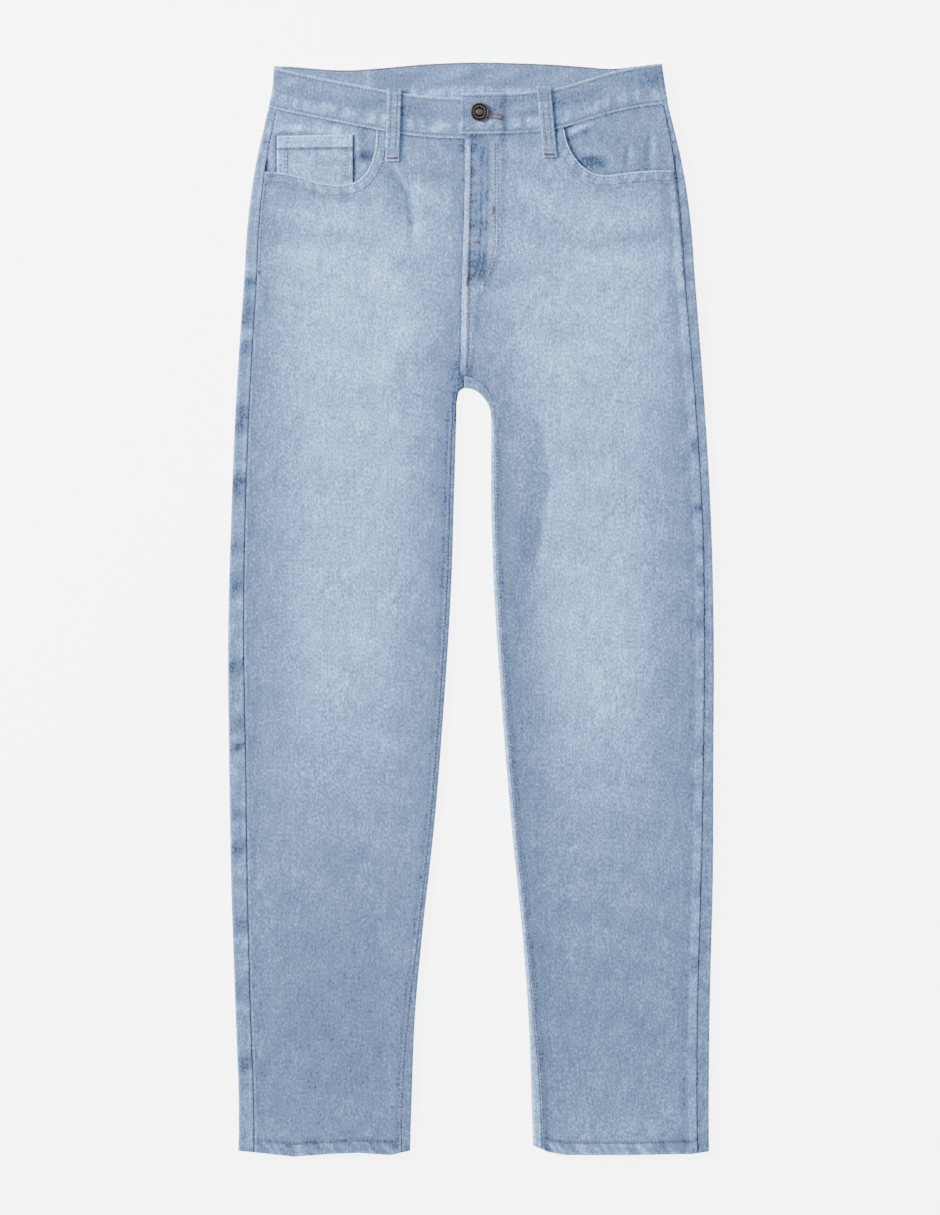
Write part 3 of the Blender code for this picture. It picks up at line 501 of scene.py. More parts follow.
def blotch(x, y, seed, across=9.0, up=9.0):
    """Patchy wear, from -1 to 1: ripples of one size across and another up, sharpened by tanh."""
    return np.tanh(2.6 * ripple(x * 10 / across, y * 10 / up, 14.0, seed))


def loop_shade(x, y):
    """1 just right of the two front loops, where the light from the left leaves a shadow."""
    return sum(bell(x - place, 2.6) for place in LOOP_SHADES) * ease((y - 410) / 12)


def front_tone(x, y):
    """Tone of the front: glow, whiskers, bluer seam strips, a mottle of three sizes, and painted shade: fold valleys
    darkened, and a painted shadow right of the front loops.
    """
    mottle = 0.07 * ripple(x, y, 46, 8) + 0.07 * ripple(x, y, 15, 9) + 0.05 * ripple(x * 2, y * 0.5, 9, 10)
    base = 0.46 + leg_glow(x, y) + streaks(x, y) + mottle
    edge = from_edge(x, y)
    # Painted shade: tone drops with the depth of each fold valley, and a painted shadow lies right of the two front
    # loops.
    return base - 0.10 * bell(edge, 26) + 0.07 * folded(FRONT_FOLDS, x, y) - 0.22 * loop_shade(x, y)


print("tone of thigh, knee and shin:", front_tone(np.array([-120., -120, -130]), np.array([250., 0, -400])).round(2))

# %% [markdown]
# ## From grid to cloth
# A panel's grid is its outer face. Solidify gives it the wall, inwards, so the face that
# shows stays where it was put. Grids that meet share their border points, which are
# merged by comparing rounded places. The tone goes on the mesh as an attribute, because
# a panel bends round the edge of the garment and no flat projection could follow it.

# %% Cloth builder
def cells(rows, columns):
    """Corner numbers of a grid's cells, row by row."""
    corner = (np.arange(rows - 1)[:, None] * columns + np.arange(columns - 1)).ravel()
    return np.stack([corner, corner + 1, corner + columns + 1, corner + columns], axis=1)


def outward(points, faces, down):
    """Cells wound outwards: the outermost one, highest or lowest, must look up or down."""
    normal = np.cross(points[faces[:, 2]] - points[faces[:, 0]], points[faces[:, 3]] - points[faces[:, 1]])
    height = points[faces, 2].mean(axis=1)
    flat = np.abs(normal[:, 2]) > 0.7 * np.linalg.norm(normal, axis=1)
    height = np.where(flat, height, np.inf if down else -np.inf)
    tip = normal[np.argmin(height) if down else np.argmax(height), 2]
    return faces if (tip < 0) == down else faces[:, ::-1]


def make_object(name, points, faces, tone=None):
    """A smooth mesh object from arrays of points in millimetres and faces."""
    mesh = bpy.data.meshes.new(name)
    mesh.from_pydata((points * MM).tolist(), [], faces)
    if tone is not None:
        mesh.attributes.new("tone", "FLOAT", "POINT").data.foreach_set("value", tone.astype(np.float32))
    mesh.shade_smooth()
    made = bpy.data.objects.new(name, mesh)
    bpy.context.scene.collection.objects.link(made)
    return made


def cloth(name, grids, tones, wall, down=False, hem=None):
    """Merge the grids of a panel into its outer face, and give it a wall inwards."""
    points, faces, tone, first = [], [], [], 0
    for grid, value in zip(grids, tones):
        moved = grid.reshape(-1, 3).copy()
        moved[:, 1] = hem_shift(moved[:, 0], moved[:, 1])
        faces.append(outward(moved, cells(*grid.shape[:2]), down) + first)
        points.append(moved)
        tone.append(np.broadcast_to(value, grid.shape[:2]).ravel())
        first += len(moved)
    points, faces, tone = np.concatenate(points), np.concatenate(faces), np.concatenate(tone)
    _, kept, place = np.unique(np.round(points / 0.02).astype(int), axis=0, return_index=True, return_inverse=True)
    made = make_object(name, points[kept], place.ravel()[faces].tolist(), np.clip(tone[kept], 0.02, 1))
    shell = made.modifiers.new("wall", "SOLIDIFY")
    shell.offset = -1.0
    shell.thickness = wall * MM
    if hem:
        turned = made.vertex_groups.new(name="turned_hem")
        low = np.flatnonzero(points[kept][:, 1] < HEM_LINE + HEM_DEPTH + 3)
        turned.add(low.tolist(), 1.0, "REPLACE")
        shell.thickness = hem * MM
        shell.vertex_group = turned.name
        shell.thickness_vertex_group = wall / hem
    return made


PIECES = {}


def dress(piece, nodes):
    """Fix a finished piece to the garment in place of its solids."""
    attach(piece, "root")
    if nodes:
        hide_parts(*nodes)
    PIECES[piece.name] = piece
    return piece


# %% [markdown]
# ## Seam wear
# The folded strips along seams stand a little proud and pucker when the thread draws
# in, and washing turns that relief into colour. One function for each panel adds both:
# a height and a tone, from the distance to the seam and the way along it. On the front
# the tone also holds painted shade: shadow lines under the waistband and beside the fly
# edge, and a dark crotch.

# %% Wear along the seams of the front, and painted shade
def strip(gap, start, end, soft=1.0):
    """1 between two distances from a seam, easing to 0 outside them."""
    return ease((gap - start) / soft + 0.5) * ease((end - gap) / soft + 0.5)


def mouth_points(side):
    """The pocket mouth's table as an array."""
    return np.array(MOUTHS[side])


def mouth_line(side, x):
    """Height along Y of the pocket mouth's edge at a place along X."""
    rows = mouth_points(side)
    rows = rows[np.argsort(rows[:, 0])]
    return np.interp(x, rows[:, 0], rows[:, 1])


def fly_raise(x, y):
    """How much the right front is raised where it lies over the left one."""
    high = np.maximum(y, FLY[0].y)
    past = x - fly_edge(high) - fly_under(high)
    return (DENIM + ABOVE) * ease((8 - past) / 6) * ease((y - 176) / 16)


def front_wear_and_shade(side, x, y):
    """Height and tone that the seam strips add to a front panel, as (height, tone); the tone also holds painted
    shadows under the waistband and along the fly edge, and painted shade at the crotch.
    """
    gap = (outer_edge(side, y) - x) * side - side_seam(side, y)
    pucker = roping(y, 1.3 * side, 11.0)
    below = ease((404 - y) / 8)
    if side == LEFT:
        height = (0.20 + 0.20 * pucker) * strip(gap, 0, 3.2, 2.0) * below
        tone = (0.17 + 0.07 * pucker) * strip(gap, 0.6, 2.4) * below
        tone = tone - 0.22 * bell(gap - 10, 1.4) * strip(y, 277, 305, 8)
        tone = tone + 0.06 * blotch(x, y, 91, 6, 16) * strip(gap, 2, 12, 6)
    else:
        height = (0.40 + 0.20 * pucker) * strip(gap, 0, 8.0, 2.5) * below
        tone = (0.17 + 0.06 * pucker) * strip(gap, 1.0, 8.0, 2.0) * below
        ragged = y + 2.5 * ripple(x, y, 9, 92)
        tone = tone + 0.85 * seam_patches(side, ragged) * strip(gap, 0.4, 7.6, 2.0)
        tone = tone - 0.07 * strip(gap, 8.5, 16, 5.0)
    tone = tone - 0.22 * bell(np.maximum(gap, 0), 0.9)

    low = np.minimum(y, CROTCH_FOOT)
    gap = (x - inner_edge(side, low)) * side - inseam(side, low)
    pucker = roping(y, 2.0 + side, 9.0)
    leg = ease((186 - y) / 12)
    height = height + (0.20 + 0.16 * pucker) * strip(gap, 0, 2.8, 1.6) * leg
    tone = tone + ((0.16 + 0.06 * pucker) * strip(gap, 0.5, 2.4) - 0.12 * strip(gap, 2.8, 6.5, 2.0)) * leg

    gap = to_path(x, y, mouth_points(side))
    pucker = blotch(x - 0.4 * side * y, y + 0.3 * x, 93, 7, 7)
    height = height + (0.34 + 0.20 * pucker) * strip(gap, -1, 10.5, 3.0) - 0.22 * bell(gap - 2.4, 0.9)
    height = height - 0.25 * bell(gap - 10.2, 1.1)
    tone = tone + (0.22 * pucker - 0.04) * strip(gap, 2, 10.0, 2.0) + 0.50 * bell(gap - 0.4, 1.0)
    tone = tone - 0.24 * bell(gap - 12.0, 1.8) * (0.6 + 0.4 * pucker)

    gap = waist_line(x) - y
    # Painted shadow: a dark line on the front just under the waistband's lower edge.
    tone = tone - 0.60 * bell(np.maximum(gap, 0), 1.5)
    tone = tone - (0.09 + 0.09 * blotch(x, y, 94, 10, 12)) * strip(gap, 2.0, 13, 9.0)
    height = height + 0.22 * blotch(x, y, 94, 10, 12) * strip(gap, 2.0, 13, 9.0)

    gap = y - HEM_LINE
    pucker = roping(x + 0.7 * gap, 0.4 * side, 10.5) * 0.6 + 0.4 * blotch(x + gap, y, 95, 8, 8)
    height = height + (0.26 + 0.34 * pucker) * strip(gap, -1, 12.0, 3.0) - 0.2 * bell(gap - 11.8, 1.0)
    tone = tone + 0.26 * pucker * strip(gap, -1, 11.5, 3.0) + 0.36 * bell(gap, 1.3)
    tone = tone - 0.30 * bell(gap - 12.0, 1.2) + 0.09 * blotch(x, y, 96, 9, 6) * strip(gap, 13, 22, 5.0)

    rise = ease((y - 186) / 14)
    if side == RIGHT:
        gap = x - fly_edge(np.maximum(y, 210))
        height = height + 0.36 * strip(gap, -1, 5.5, 2.0) * rise
        tone = tone + (0.30 * strip(gap, 0.3, 4.6) - 0.20 * strip(gap, 5.2, 7.6, 1.6)) * rise
        placket = to_path(x, y, FLY_CURVE)
        ladder = roping(y, 4.0, 9.5)
        between = strip(gap, 5.5, 13, 2.0) * strip(y, 300, 436, 14)
        height = height + 0.30 * bell(placket, 1.4) + 0.22 * ladder * between
        tone = tone + 0.20 * bell(placket, 1.0) - 0.12 * bell(placket - 2.6, 1.2)
        tone = tone + (0.18 * ladder - 0.18) * between
        beyond = to_path(x, y, FLY_STITCH)
        inside = strip(gap, 14, 22, 3.0) * strip(y, 306, 436, 16)
        tone = tone - (0.26 + 0.18 * blotch(x, y, 97, 7, 14)) * inside + 0.10 * bell(beyond - 2.4, 1.0)
        height = height + 0.22 * blotch(x, y, 97, 7, 14) * inside - 0.25 * bell(beyond, 1.2)
        foot = np.exp(-(np.hypot(x - 7, y - 318) / 13) ** 4)
        tone = tone - 0.30 * foot + 0.12 * foot * blotch(x, y, 98, 5, 6)
        tone = tone + 0.10 * strip(gap, 1.5, 7, 2.0) * strip(y, 226, 300, 12)
    else:
        gap = fly_edge(np.maximum(y, 210)) - x
        # Painted shadow: a dark line on the left front along the right front's fly edge, where that edge casts its
        # shade.
        tone = tone - (0.30 * bell(np.abs(gap), 2.0) + 0.07 * strip(gap, 2, 12, 6)) * rise
    crotch_shade_gap = np.hypot(x + 7, (y - 208) * 0.55)
    # Painted shade: the front darkens round the crotch, where the cloth rounds away into shade.
    tone = tone - 0.34 * bell(crotch_shade_gap, 12)
    return height, tone


FLY_STITCH = [(22.3, 433), (22.6, 400), (22.4, 360), (21.6, 336), (17.0, 319), (8.0, 300)]
FLY_CURVE = [(14.4, 432), (13.0, 396), (11.6, 350), (9.6, 322), (4.0, 304)]


def front_height(side, x, y):
    """Outer face of a front panel, seam relief included."""
    return top_face(x, y) + (fly_raise(x, y) if side == RIGHT else 0.0) + front_wear_and_shade(side, x, y)[0]


# %% [markdown]
# ## Front panels
# Each front is one grid: rows from the hem to the waist, columns from the side seam to
# the inseam. Above the crotch the upper rows are pulled until the last one follows the
# curved pocket mouth and then the waistband. Laying a flat net like this is the simplest
# way to keep a clean grid under curved edges.

# %% Front panels
LEG_ROWS, HEM_ROWS, CROTCH_ROWS, FLY_ROWS = 236, 9, 22, 72
FRONT_COLUMNS, MOUTH_SHARE = 118, 0.53


def leg_levels(rows):
    """Heights of rows from the hem to the crotch."""
    hem = np.linspace(HEM_LINE, HEM_LINE + HEM_DEPTH, HEM_ROWS)[:-1]
    return np.concatenate([hem, np.linspace(HEM_LINE + HEM_DEPTH, CROTCH_FOOT, rows)])


def front_top(side):
    """Upper edge of a front panel: round the pocket mouth, then along the waistband."""
    count = int(FRONT_COLUMNS * MOUTH_SHARE)
    edge = along(mouth_points(side), np.linspace(0, 1, count + 1))
    end = fly_edge(440) + (fly_under(440) if side == LEFT else 0)
    x = np.linspace(edge[-1, 0], end, FRONT_COLUMNS - count + 1)[1:]
    table = BAND_LEFT if side == LEFT else BAND_RIGHT
    edge[-1, 1] = band_top(table, edge[-1, 0]) - BAND_DEPTH - SEAM
    return np.concatenate([edge, np.stack([x, band_top(table, x) - BAND_DEPTH - SEAM], axis=1)])


def front_plan(side):
    """Plan of a front panel, blended between its side seam and its inner edge."""
    leg = leg_levels(LEG_ROWS)
    edge, toward, flap = crotch_arrays(side, CROTCH_ROWS)
    turn = (edge + toward * (flap + SEAM)[:, None])[1:]
    top = front_top(side)
    low = turn[-1, 1]
    fly_y = np.linspace(low, top[-1, 1], FLY_ROWS + 1)[1:]
    under = fly_under(fly_y) if side == LEFT else 0 * fly_y
    fly = np.stack([fly_edge(fly_y) + under, fly_y], axis=1)
    if side == LEFT:
        turn[:, 0] += fly_under(low) * ease((turn[:, 1] - 200) / (low - 200))
    legs = np.stack([inner_edge(side, leg) + side * (inseam(side, leg) + SEAM), leg], axis=1)
    inner = np.concatenate([legs, turn, fly])
    upper = np.linspace(CROTCH_FOOT, top[0, 1], len(turn) + len(fly) + 1)[1:]
    outer_y = np.concatenate([leg, upper])
    outer = np.stack([outer_edge(side, outer_y) - side * (side_seam(side, outer_y) + SEAM), outer_y], axis=1)
    top[0], top[-1] = outer[-1], inner[-1]
    share = crowd(np.linspace(0, 1, FRONT_COLUMNS + 1))
    plan = blend(outer[:, None], inner[:, None], share[None, :, None])
    part = np.clip((np.arange(len(outer_y)) - len(leg)) / len(upper), 0, 1)
    pull = (np.clip(part - 0.36, 0, 1) / (part[-1] - 0.36)) ** 1.6
    return plan + pull[:, None, None] * (top - plan[-1])[None]


for side in (LEFT, RIGHT):
    plan = front_plan(side)
    x, y = plan[..., 0], plan[..., 1]
    # The tone from the seam strips also carries painted shadows and painted shade.
    rise, wear = front_wear_and_shade(side, x, y)
    lap = fly_raise(x, y) if side == RIGHT else 0.0
    grid = np.stack([x, y, top_face(x, y) + lap + rise], axis=-1)
    name = "front_" + WORD[side]
    piece = cloth(name + "_panel", [grid], [front_tone(x, y) + wear], DENIM, hem=HEM)
    dress(piece, [name])

# %% [markdown]
# ## Back panels
# The back is wider than the front, so it wraps round both edges of the leg and meets the
# front on top. Its grid starts at the side seam, goes round a half ellipse, along the
# floor, and round the inner leg. Hollows lift it off the floor in a few places, as a leg
# that was smoothed by hand never lies dead flat.

# %% Underside: hollows, wear and tone
UNDER_CREASES = [
    Crease(-196, 60, -110, 40, 0.6, 9), Crease(-190, 20, -60, 34, 0.5, 8),
    Crease(-200, -20, -130, -40, 0.5, 9), Crease(-120, -30, -44, -6, 0.6, 8),
    Crease(60, 40, 150, 62, 0.6, 9), Crease(70, 6, 190, 18, 0.5, 8),
    Crease(110, -30, 200, -44, 0.5, 9), Crease(48, -24, 110, -40, 0.6, 8),
    Crease(-60, 196, -150, 232, 0.5, 12), Crease(58, 200, 150, 236, 0.5, 12),
    Crease(-84, 120, -70, 40, 0.4, 14), Crease(96, 110, 84, 20, 0.4, 14),
    Crease(-120, -200, -150, -360, 0.5, 16), Crease(130, -210, 152, -380, 0.5, 16),
    Crease(-80, -300, -90, -430, 0.4, 10), Crease(92, -320, 84, -440, 0.4, 10),
]
UNDER_FADES = [
    ToneLine(-196, 52, -110, 34, 0.10, 7), ToneLine(-190, 14, -60, 26, -0.08, 6),
    ToneLine(-200, -26, -130, -46, 0.09, 7), ToneLine(60, 34, 150, 56, 0.10, 7),
    ToneLine(70, 0, 190, 12, -0.08, 6), ToneLine(110, -36, 200, -50, 0.09, 7),
    ToneLine(-40, 214, -150, 246, -0.08, 9), ToneLine(40, 214, 150, 248, -0.08, 9),
    ToneLine(-116, 300, -112, 280, 0.14, 60), ToneLine(104, 300, 108, 280, 0.14, 60),
    ToneLine(-120, 120, -124, -60, 0.10, 55), ToneLine(122, 120, 126, -60, 0.10, 55),
    ToneLine(-130, -300, -130, -500, -0.08, 80), ToneLine(132, -300, 132, -500, -0.08, 80),
]


def hollow(x, y):
    """Lift of the underside off the floor: creases and a slow unevenness, none near a fold."""
    free = ease((from_edge(x, y) - 6) / 16) * ease((y - HEM_LINE - 16) / 20)
    lift = creases(UNDER_CREASES, x, y) + 0.10 + 0.10 * ripple(x, y, 70, 21)
    return np.clip(lift, 0, 0.85) * free


def yoke_seam(side, x):
    """Slanted seam between a back panel and its yoke."""
    return blend(YOKE_BACK, YOKE_SIDE, np.clip((np.asarray(x) - CENTRE_BACK) / (side * 190), 0, 1))


def back_tone(side, x, y):
    """Tone of the underside: a bluer version of the front, pale at the seat and behind the thigh."""
    tone = 0.46 + 0.035 * ripple(x, y, 46, 31) + 0.03 * ripple(x, y, 15, 33)
    for row in UNDER_FADES:
        gap = to_lines(x, y, np.array([[row.x0, row.y0]]), np.array([[row.x1, row.y1]]))
        tone = tone + row.tone * bell(gap, row.width)
    gap = yoke_seam(side, x) - y
    tone = tone + 0.14 * strip(gap, 0, 2) - 0.14 * strip(gap, 7.5, 9.5)
    gap = np.abs(x - CENTRE_BACK)
    tone = tone + (0.10 * strip(gap, 1, 3) - 0.12 * strip(gap, 9.5, 11.5)) * ease((y - 216) / 10)
    gap = y - HEM_LINE
    pucker = roping(x - 0.55 * gap, 0.9 * side, 9.5)
    return tone + (0.02 + 0.12 * pucker) * strip(gap, -1, 11.5, 3.0) - 0.12 * bell(gap - 12.2, 1.3)


INWARD = {LEFT: 0.34, RIGHT: 0.74}
WRAP_REACH = 24


def wrap_tone(side, grid):
    """Tone of a back panel's grid: front rules on the wrapped strips, underside rules below."""
    x, y, z = grid[..., 0], grid[..., 1], grid[..., 2]
    outer = (outer_edge(side, y) - x) * side
    seam = side_seam(side, y) - outer
    over = ease((z - 1.6) / 1.4)
    ragged = y + 3.0 * ripple(x, y, 10, 42) + 0.25 * seam
    if side == LEFT:
        patches = seam_patches(LEFT, ragged) * strip(seam, 0.3, 14, 1.5)
        top = 0.49 + patches + 0.10 * strip(seam, 1.6, 4.0) + 0.05 * roping(y, 3.1, 12.0)
    else:
        top = 0.42 + 0.06 * roping(y, 4.2, 14.0) + 0.08 * strip(outer, 1, 4, 2)
    top = top + 0.10 * blotch(x, y, 41, 7, 12) - 0.26 * bell(seam, 0.9)
    low = np.minimum(y, CROTCH_FOOT)
    inner = np.abs(x - inner_edge(side, low))
    inward = INWARD[side] + 0.08 * roping(y, 5.0 + side, 9.0)
    # Painted shade: the back panel wrapped round the inner leg darkens towards the crotch, where it rounds away
    # downward.
    inward = inward - 0.30 * ease((y - 160) / 26) + 0.12 * strip(inner, 1.2, 2.8)
    wrapped = np.where(outer < WRAP_REACH, top, inward)
    wrapped = np.where((outer >= WRAP_REACH) & (inner > WRAP_REACH) & (y < 170), 0.4, wrapped)
    return blend(back_tone(side, x, y), wrapped, over)


# %% Back panels
ARC = np.radians(np.linspace(90, -90, 13))
FLAP_COLUMNS, INNER_FLAP_COLUMNS = 9, 4
BACK_LEG_ROWS, ACROSS, HIP_ROWS = 176, 54, 62


def round_fold(edge, toward, flap, steps):
    """The flap on the front, then half an ellipse round the fold: z = middle + half the height times sin."""
    reach = flap[:, None] + (FOLD - flap[:, None]) * np.linspace(0, 1, steps + 1)[:-1]
    x, y = (edge[:, i:i + 1] + toward[:, i:i + 1] * reach for i in (0, 1))
    flat = np.stack([x, y, top_face(x, y)], axis=-1)
    inside = edge + toward * FOLD
    low, high = under_face(edge[:, 1:]), top_face(inside[:, :1], inside[:, 1:])
    way = FOLD * (1 - np.cos(ARC))[None]
    x, y = (edge[:, i:i + 1] + toward[:, i:i + 1] * way for i in (0, 1))
    floor = np.where(ARC < 0, under_face(y), low)
    z = floor + (high - floor) * (1 + np.sin(ARC)) / 2
    return np.concatenate([flat, np.stack([x, y, z], axis=-1)], axis=1)


def outer_fold(side, y):
    """Grid round the outer fold, one row for each height."""
    edge = np.stack([outer_edge(side, y), y], axis=1)
    toward = np.tile([-float(side), 0.0], (len(y), 1))
    return round_fold(edge, toward, side_seam(side, y) - SEAM, FLAP_COLUMNS)


def lay_back(x, y):
    """Points of the back layer's outer face."""
    x, y = np.broadcast_arrays(x, y)
    return np.stack([x, y, under_face(y) + hollow(x, y)], axis=-1)


def back_leg(side):
    """Leg part of a back panel, from the side seam right round to the inseam."""
    y = leg_levels(BACK_LEG_ROWS)
    outer = outer_fold(side, y)
    edge = np.stack([inner_edge(side, y), y], axis=1)
    toward = np.tile([float(side), 0.0], (len(y), 1))
    inner = round_fold(edge, toward, inseam(side, y) - SEAM, INNER_FLAP_COLUMNS)[:, ::-1]
    start, end = outer[:, -1:, 0], edge[:, :1] + side * UNDER_CURVE
    across = lay_back(blend(start, end, np.linspace(0, 1, ACROSS + 1)[1:]), y[:, None])
    return np.concatenate([outer, across, inner], axis=1)


def crotch_fan(side):
    """Cloth of the back panel that turns round the crotch."""
    edge, toward, flap = crotch_arrays(side, CROTCH_ROWS)
    inner = round_fold(edge, toward, flap - SEAM, INNER_FLAP_COLUMNS)[:, ::-1]
    inside = edge + toward * UNDER_CURVE
    return np.concatenate([lay_back(inside[:, :1], inside[:, 1:]), inner], axis=1)


def back_hip(side, leg, fan):
    """Seat part of a back panel, from the leg up to the yoke seam."""
    folded = FLAP_COLUMNS + len(ARC)
    foot = np.concatenate([leg[-1, :folded + ACROSS], fan[1:, 0]])
    share = np.linspace(0, 1, HIP_ROWS + 1)[1:]
    outer = outer_fold(side, blend(CROTCH_FOOT, YOKE_SIDE - SEAM, share))
    start, end = outer[:, -1:, 0], CENTRE_BACK + side * SEAM
    flat = foot[folded:]
    crowded = (flat[:, 0] - foot[folded - 1, 0]) / (end - foot[folded - 1, 0])
    even = np.arange(1, len(flat) + 1) / len(flat)
    x = start + (end - start) * blend(crowded, even, share[:, None])
    y = flat[:, 1] + (yoke_seam(side, x[-1]) - SEAM - flat[:, 1]) * share[:, None]
    return np.concatenate([foot[None], np.concatenate([outer, lay_back(x, y)], axis=1)])


def yoke(side):
    """A yoke, from its slanted seam to the waistband, wrapped round the outer fold."""
    share = np.linspace(0, 1, 18)
    band = band_top(BAND_BACK, outer_edge(side, 468.0)) - BAND_DEPTH
    outer = outer_fold(side, blend(YOKE_SIDE + SEAM, band - SEAM, share))
    front = FLAP_COLUMNS + len(ARC) // 2
    table = BAND_LEFT if side == LEFT else BAND_RIGHT
    line = np.concatenate([band_top(table, outer[:, :front, 0]), band_top(BAND_BACK, outer[:, front:, 0])], axis=1)
    outer[..., 1] = blend(YOKE_SIDE + SEAM, line - BAND_DEPTH - ABOVE, share[:, None])
    x = blend(outer[:, -1:, 0], CENTRE_BACK + side * SEAM, np.linspace(0, 1, ACROSS + 1)[1:])
    y = blend(yoke_seam(side, x) + SEAM, band_top(BAND_BACK, x) - BAND_DEPTH - SEAM, share[:, None])
    return np.concatenate([outer, lay_back(x, y)], axis=1)


for side in (LEFT, RIGHT):
    leg, fan = back_leg(side), crotch_fan(side)
    hip = back_hip(side, leg, fan)
    name = "back_" + WORD[side]
    grids = [leg, fan, hip]
    piece = cloth(name + "_panel", grids, [wrap_tone(side, grid) for grid in grids], DENIM, down=True, hem=HEM)
    dress(piece, [name])
    name = "yoke_" + WORD[side]
    grid = yoke(side)
    piece = cloth(name + "_panel", [grid], [wrap_tone(side, grid)], DENIM, down=True)
    dress(piece, [name])

# %% [markdown]
# ## Pockets in front
# A scooped pocket shows the facing behind its mouth. The facing lies one layer lower and
# rises to the seams, so the mouth's edge casts a thin shadow on it. The small coin pocket
# is a patch on the left facing, its lower edge tucked behind the mouth.

# %% Pocket facings and coin pocket
COIN_LEFT, COIN_RIGHT, COIN_TOP, COIN_TUCK, COIN_SLANT = -180.0, -110.0, 440.0, 5.0, 0.012
FACING_CREASES = {
    LEFT: [Crease(-178, 446, -160, 447, 0.8, 4), Crease(-160, 447, -124, 443, 0.9, 4),
           Crease(-124, 443, -108, 440, 0.7, 4), Crease(-176, 441, -120, 437, -1.0, 3),
           Crease(-98, 446, -96, 420, -0.6, 4), Crease(-106, 436, -101, 414, 0.5, 4)],
    RIGHT: [Crease(92, 443, 112, 451, 0.9, 3.5), Crease(90, 437, 110, 444, -1.0, 2.6),
            Crease(106, 417, 124, 413, -1.1, 4), Crease(112, 424, 130, 420, 0.6, 5),
            Crease(165.5, 438, 164, 409, -0.9, 2.6), Crease(171, 438, 170, 410, 0.6, 4),
            Crease(146, 428, 144, 409, -0.8, 2.4), Crease(151, 428, 150, 410, 0.5, 4),
            Crease(128, 440, 150, 432, -0.3, 6)],
}
FACING_TONE = {LEFT: 0.52, RIGHT: 0.44}
MOUTH_SHADE_SPOTS = {LEFT: (-99, 421, 0.60), RIGHT: (114, 418, 0.62)}


def mouth_rise(side, x, y):
    """0 under the front panel, easing to 1 a little way inside the pocket mouth."""
    gap = to_path(x, y, mouth_points(side))
    inside = (y > mouth_line(side, x)) & ((x - MOUTHS[side][-1].x) * side > 0)
    return ease((gap - 3) / 15) * inside


def facing_height(side, x, y):
    """Outer face of a facing: a layer under the front, rising inside the mouth, with its own creases."""
    rise = mouth_rise(side, x, y)
    folds = 1.3 * creases(FACING_CREASES[side], x, y) * ease(rise * 2)
    return top_face(x, y) - FACING_DROP + (FACING_DROP - 0.1) * rise + folds


def facing_tone(side, x, y):
    """Bluer than the front, with painted shade: darkest right behind the mouth, painted shadows along the mouth,
    under the waistband and beside the coin pocket, and crease tops painted paler and their valleys darker.
    """
    gap = to_path(x, y, mouth_points(side))
    fold = creases(FACING_CREASES[side], x, y)
    hollow_x, hollow_y, deep = MOUTH_SHADE_SPOTS[side]
    # Painted shade: a dark spot in the hollow just behind the pocket mouth.
    dark = np.exp(-(((x - hollow_x) / 9) ** 2 + ((y - hollow_y) / 5) ** 2))
    mottle = 0.06 * ripple(x, y, 22, 51) + 0.05 * blotch(x, y, 52, 12, 16)
    sides = np.abs(x - (COIN_LEFT + COIN_RIGHT) / 2) - (COIN_RIGHT - COIN_LEFT) / 2
    shadow = strip(sides, -0.5, 2.6, 1.5) * (y < COIN_TOP + 1) * (side == LEFT)
    under_band = bell(waist_line(x) - y, 1.8)
    # Painted shadows: a dark line along the mouth's edge, under the waistband, and beside the coin pocket's sides.
    painted_shadows = 0.22 * bell(gap, 3.2) + 0.50 * under_band + 0.42 * shadow
    # Painted light and shade on the creases: ridges paler, valleys darker.
    return FACING_TONE[side] - painted_shadows + 0.26 * fold - deep * dark + mottle


def pocket_facing(side):
    """Grid of a facing between its rounded foot and the waistband."""
    foot, share = np.linspace(0, 1, 76), np.linspace(0, 1, 54)[:, None]
    low = FACING_FOOT + FACING_CORNER * (np.clip(foot - 0.6, 0, 1) / 0.4) ** 2
    y = blend(low, 460.0, share)
    for _ in range(4):
        start = outer_edge(side, y) - side * (side_seam(side, y) + ABOVE)
        x = blend(start, FACING_SIDE[side], foot)
        y = blend(low, waist_line(x) - SEAM, share)
    return np.stack([x, y, facing_height(side, x, y)], axis=-1)


def coin_height(x, y):
    """Outer face of the coin pocket: one layer over the facing."""
    return facing_height(LEFT, x, y) + ABOVE + FACING


def coin_top(x):
    """Straight top edge of the coin pocket, a little higher on its right."""
    return COIN_TOP + COIN_SLANT * (x - COIN_LEFT)


def coin_pocket():
    """Grid of the coin pocket, from behind the mouth to its straight top edge."""
    x = np.linspace(COIN_LEFT, COIN_RIGHT, 54)
    y = blend(mouth_line(LEFT, x) - COIN_TUCK, coin_top(x), np.linspace(0, 1, 34)[:, None])
    x = x + 0 * y
    return np.stack([x, y, coin_height(x, y)], axis=-1)


for side in (LEFT, RIGHT):
    grid = pocket_facing(side)
    name = "pocket_facing_" + WORD[side]
    piece = cloth(name + "_cloth", [grid], [facing_tone(side, grid[..., 0], grid[..., 1])], FACING)
    dress(piece, [name])
grid = coin_pocket()
x, y = grid[..., 0], grid[..., 1]
inset = np.minimum.reduce([x - COIN_LEFT, COIN_RIGHT - x])
hemmed = coin_top(x) - y
rim = np.minimum(inset, hemmed)
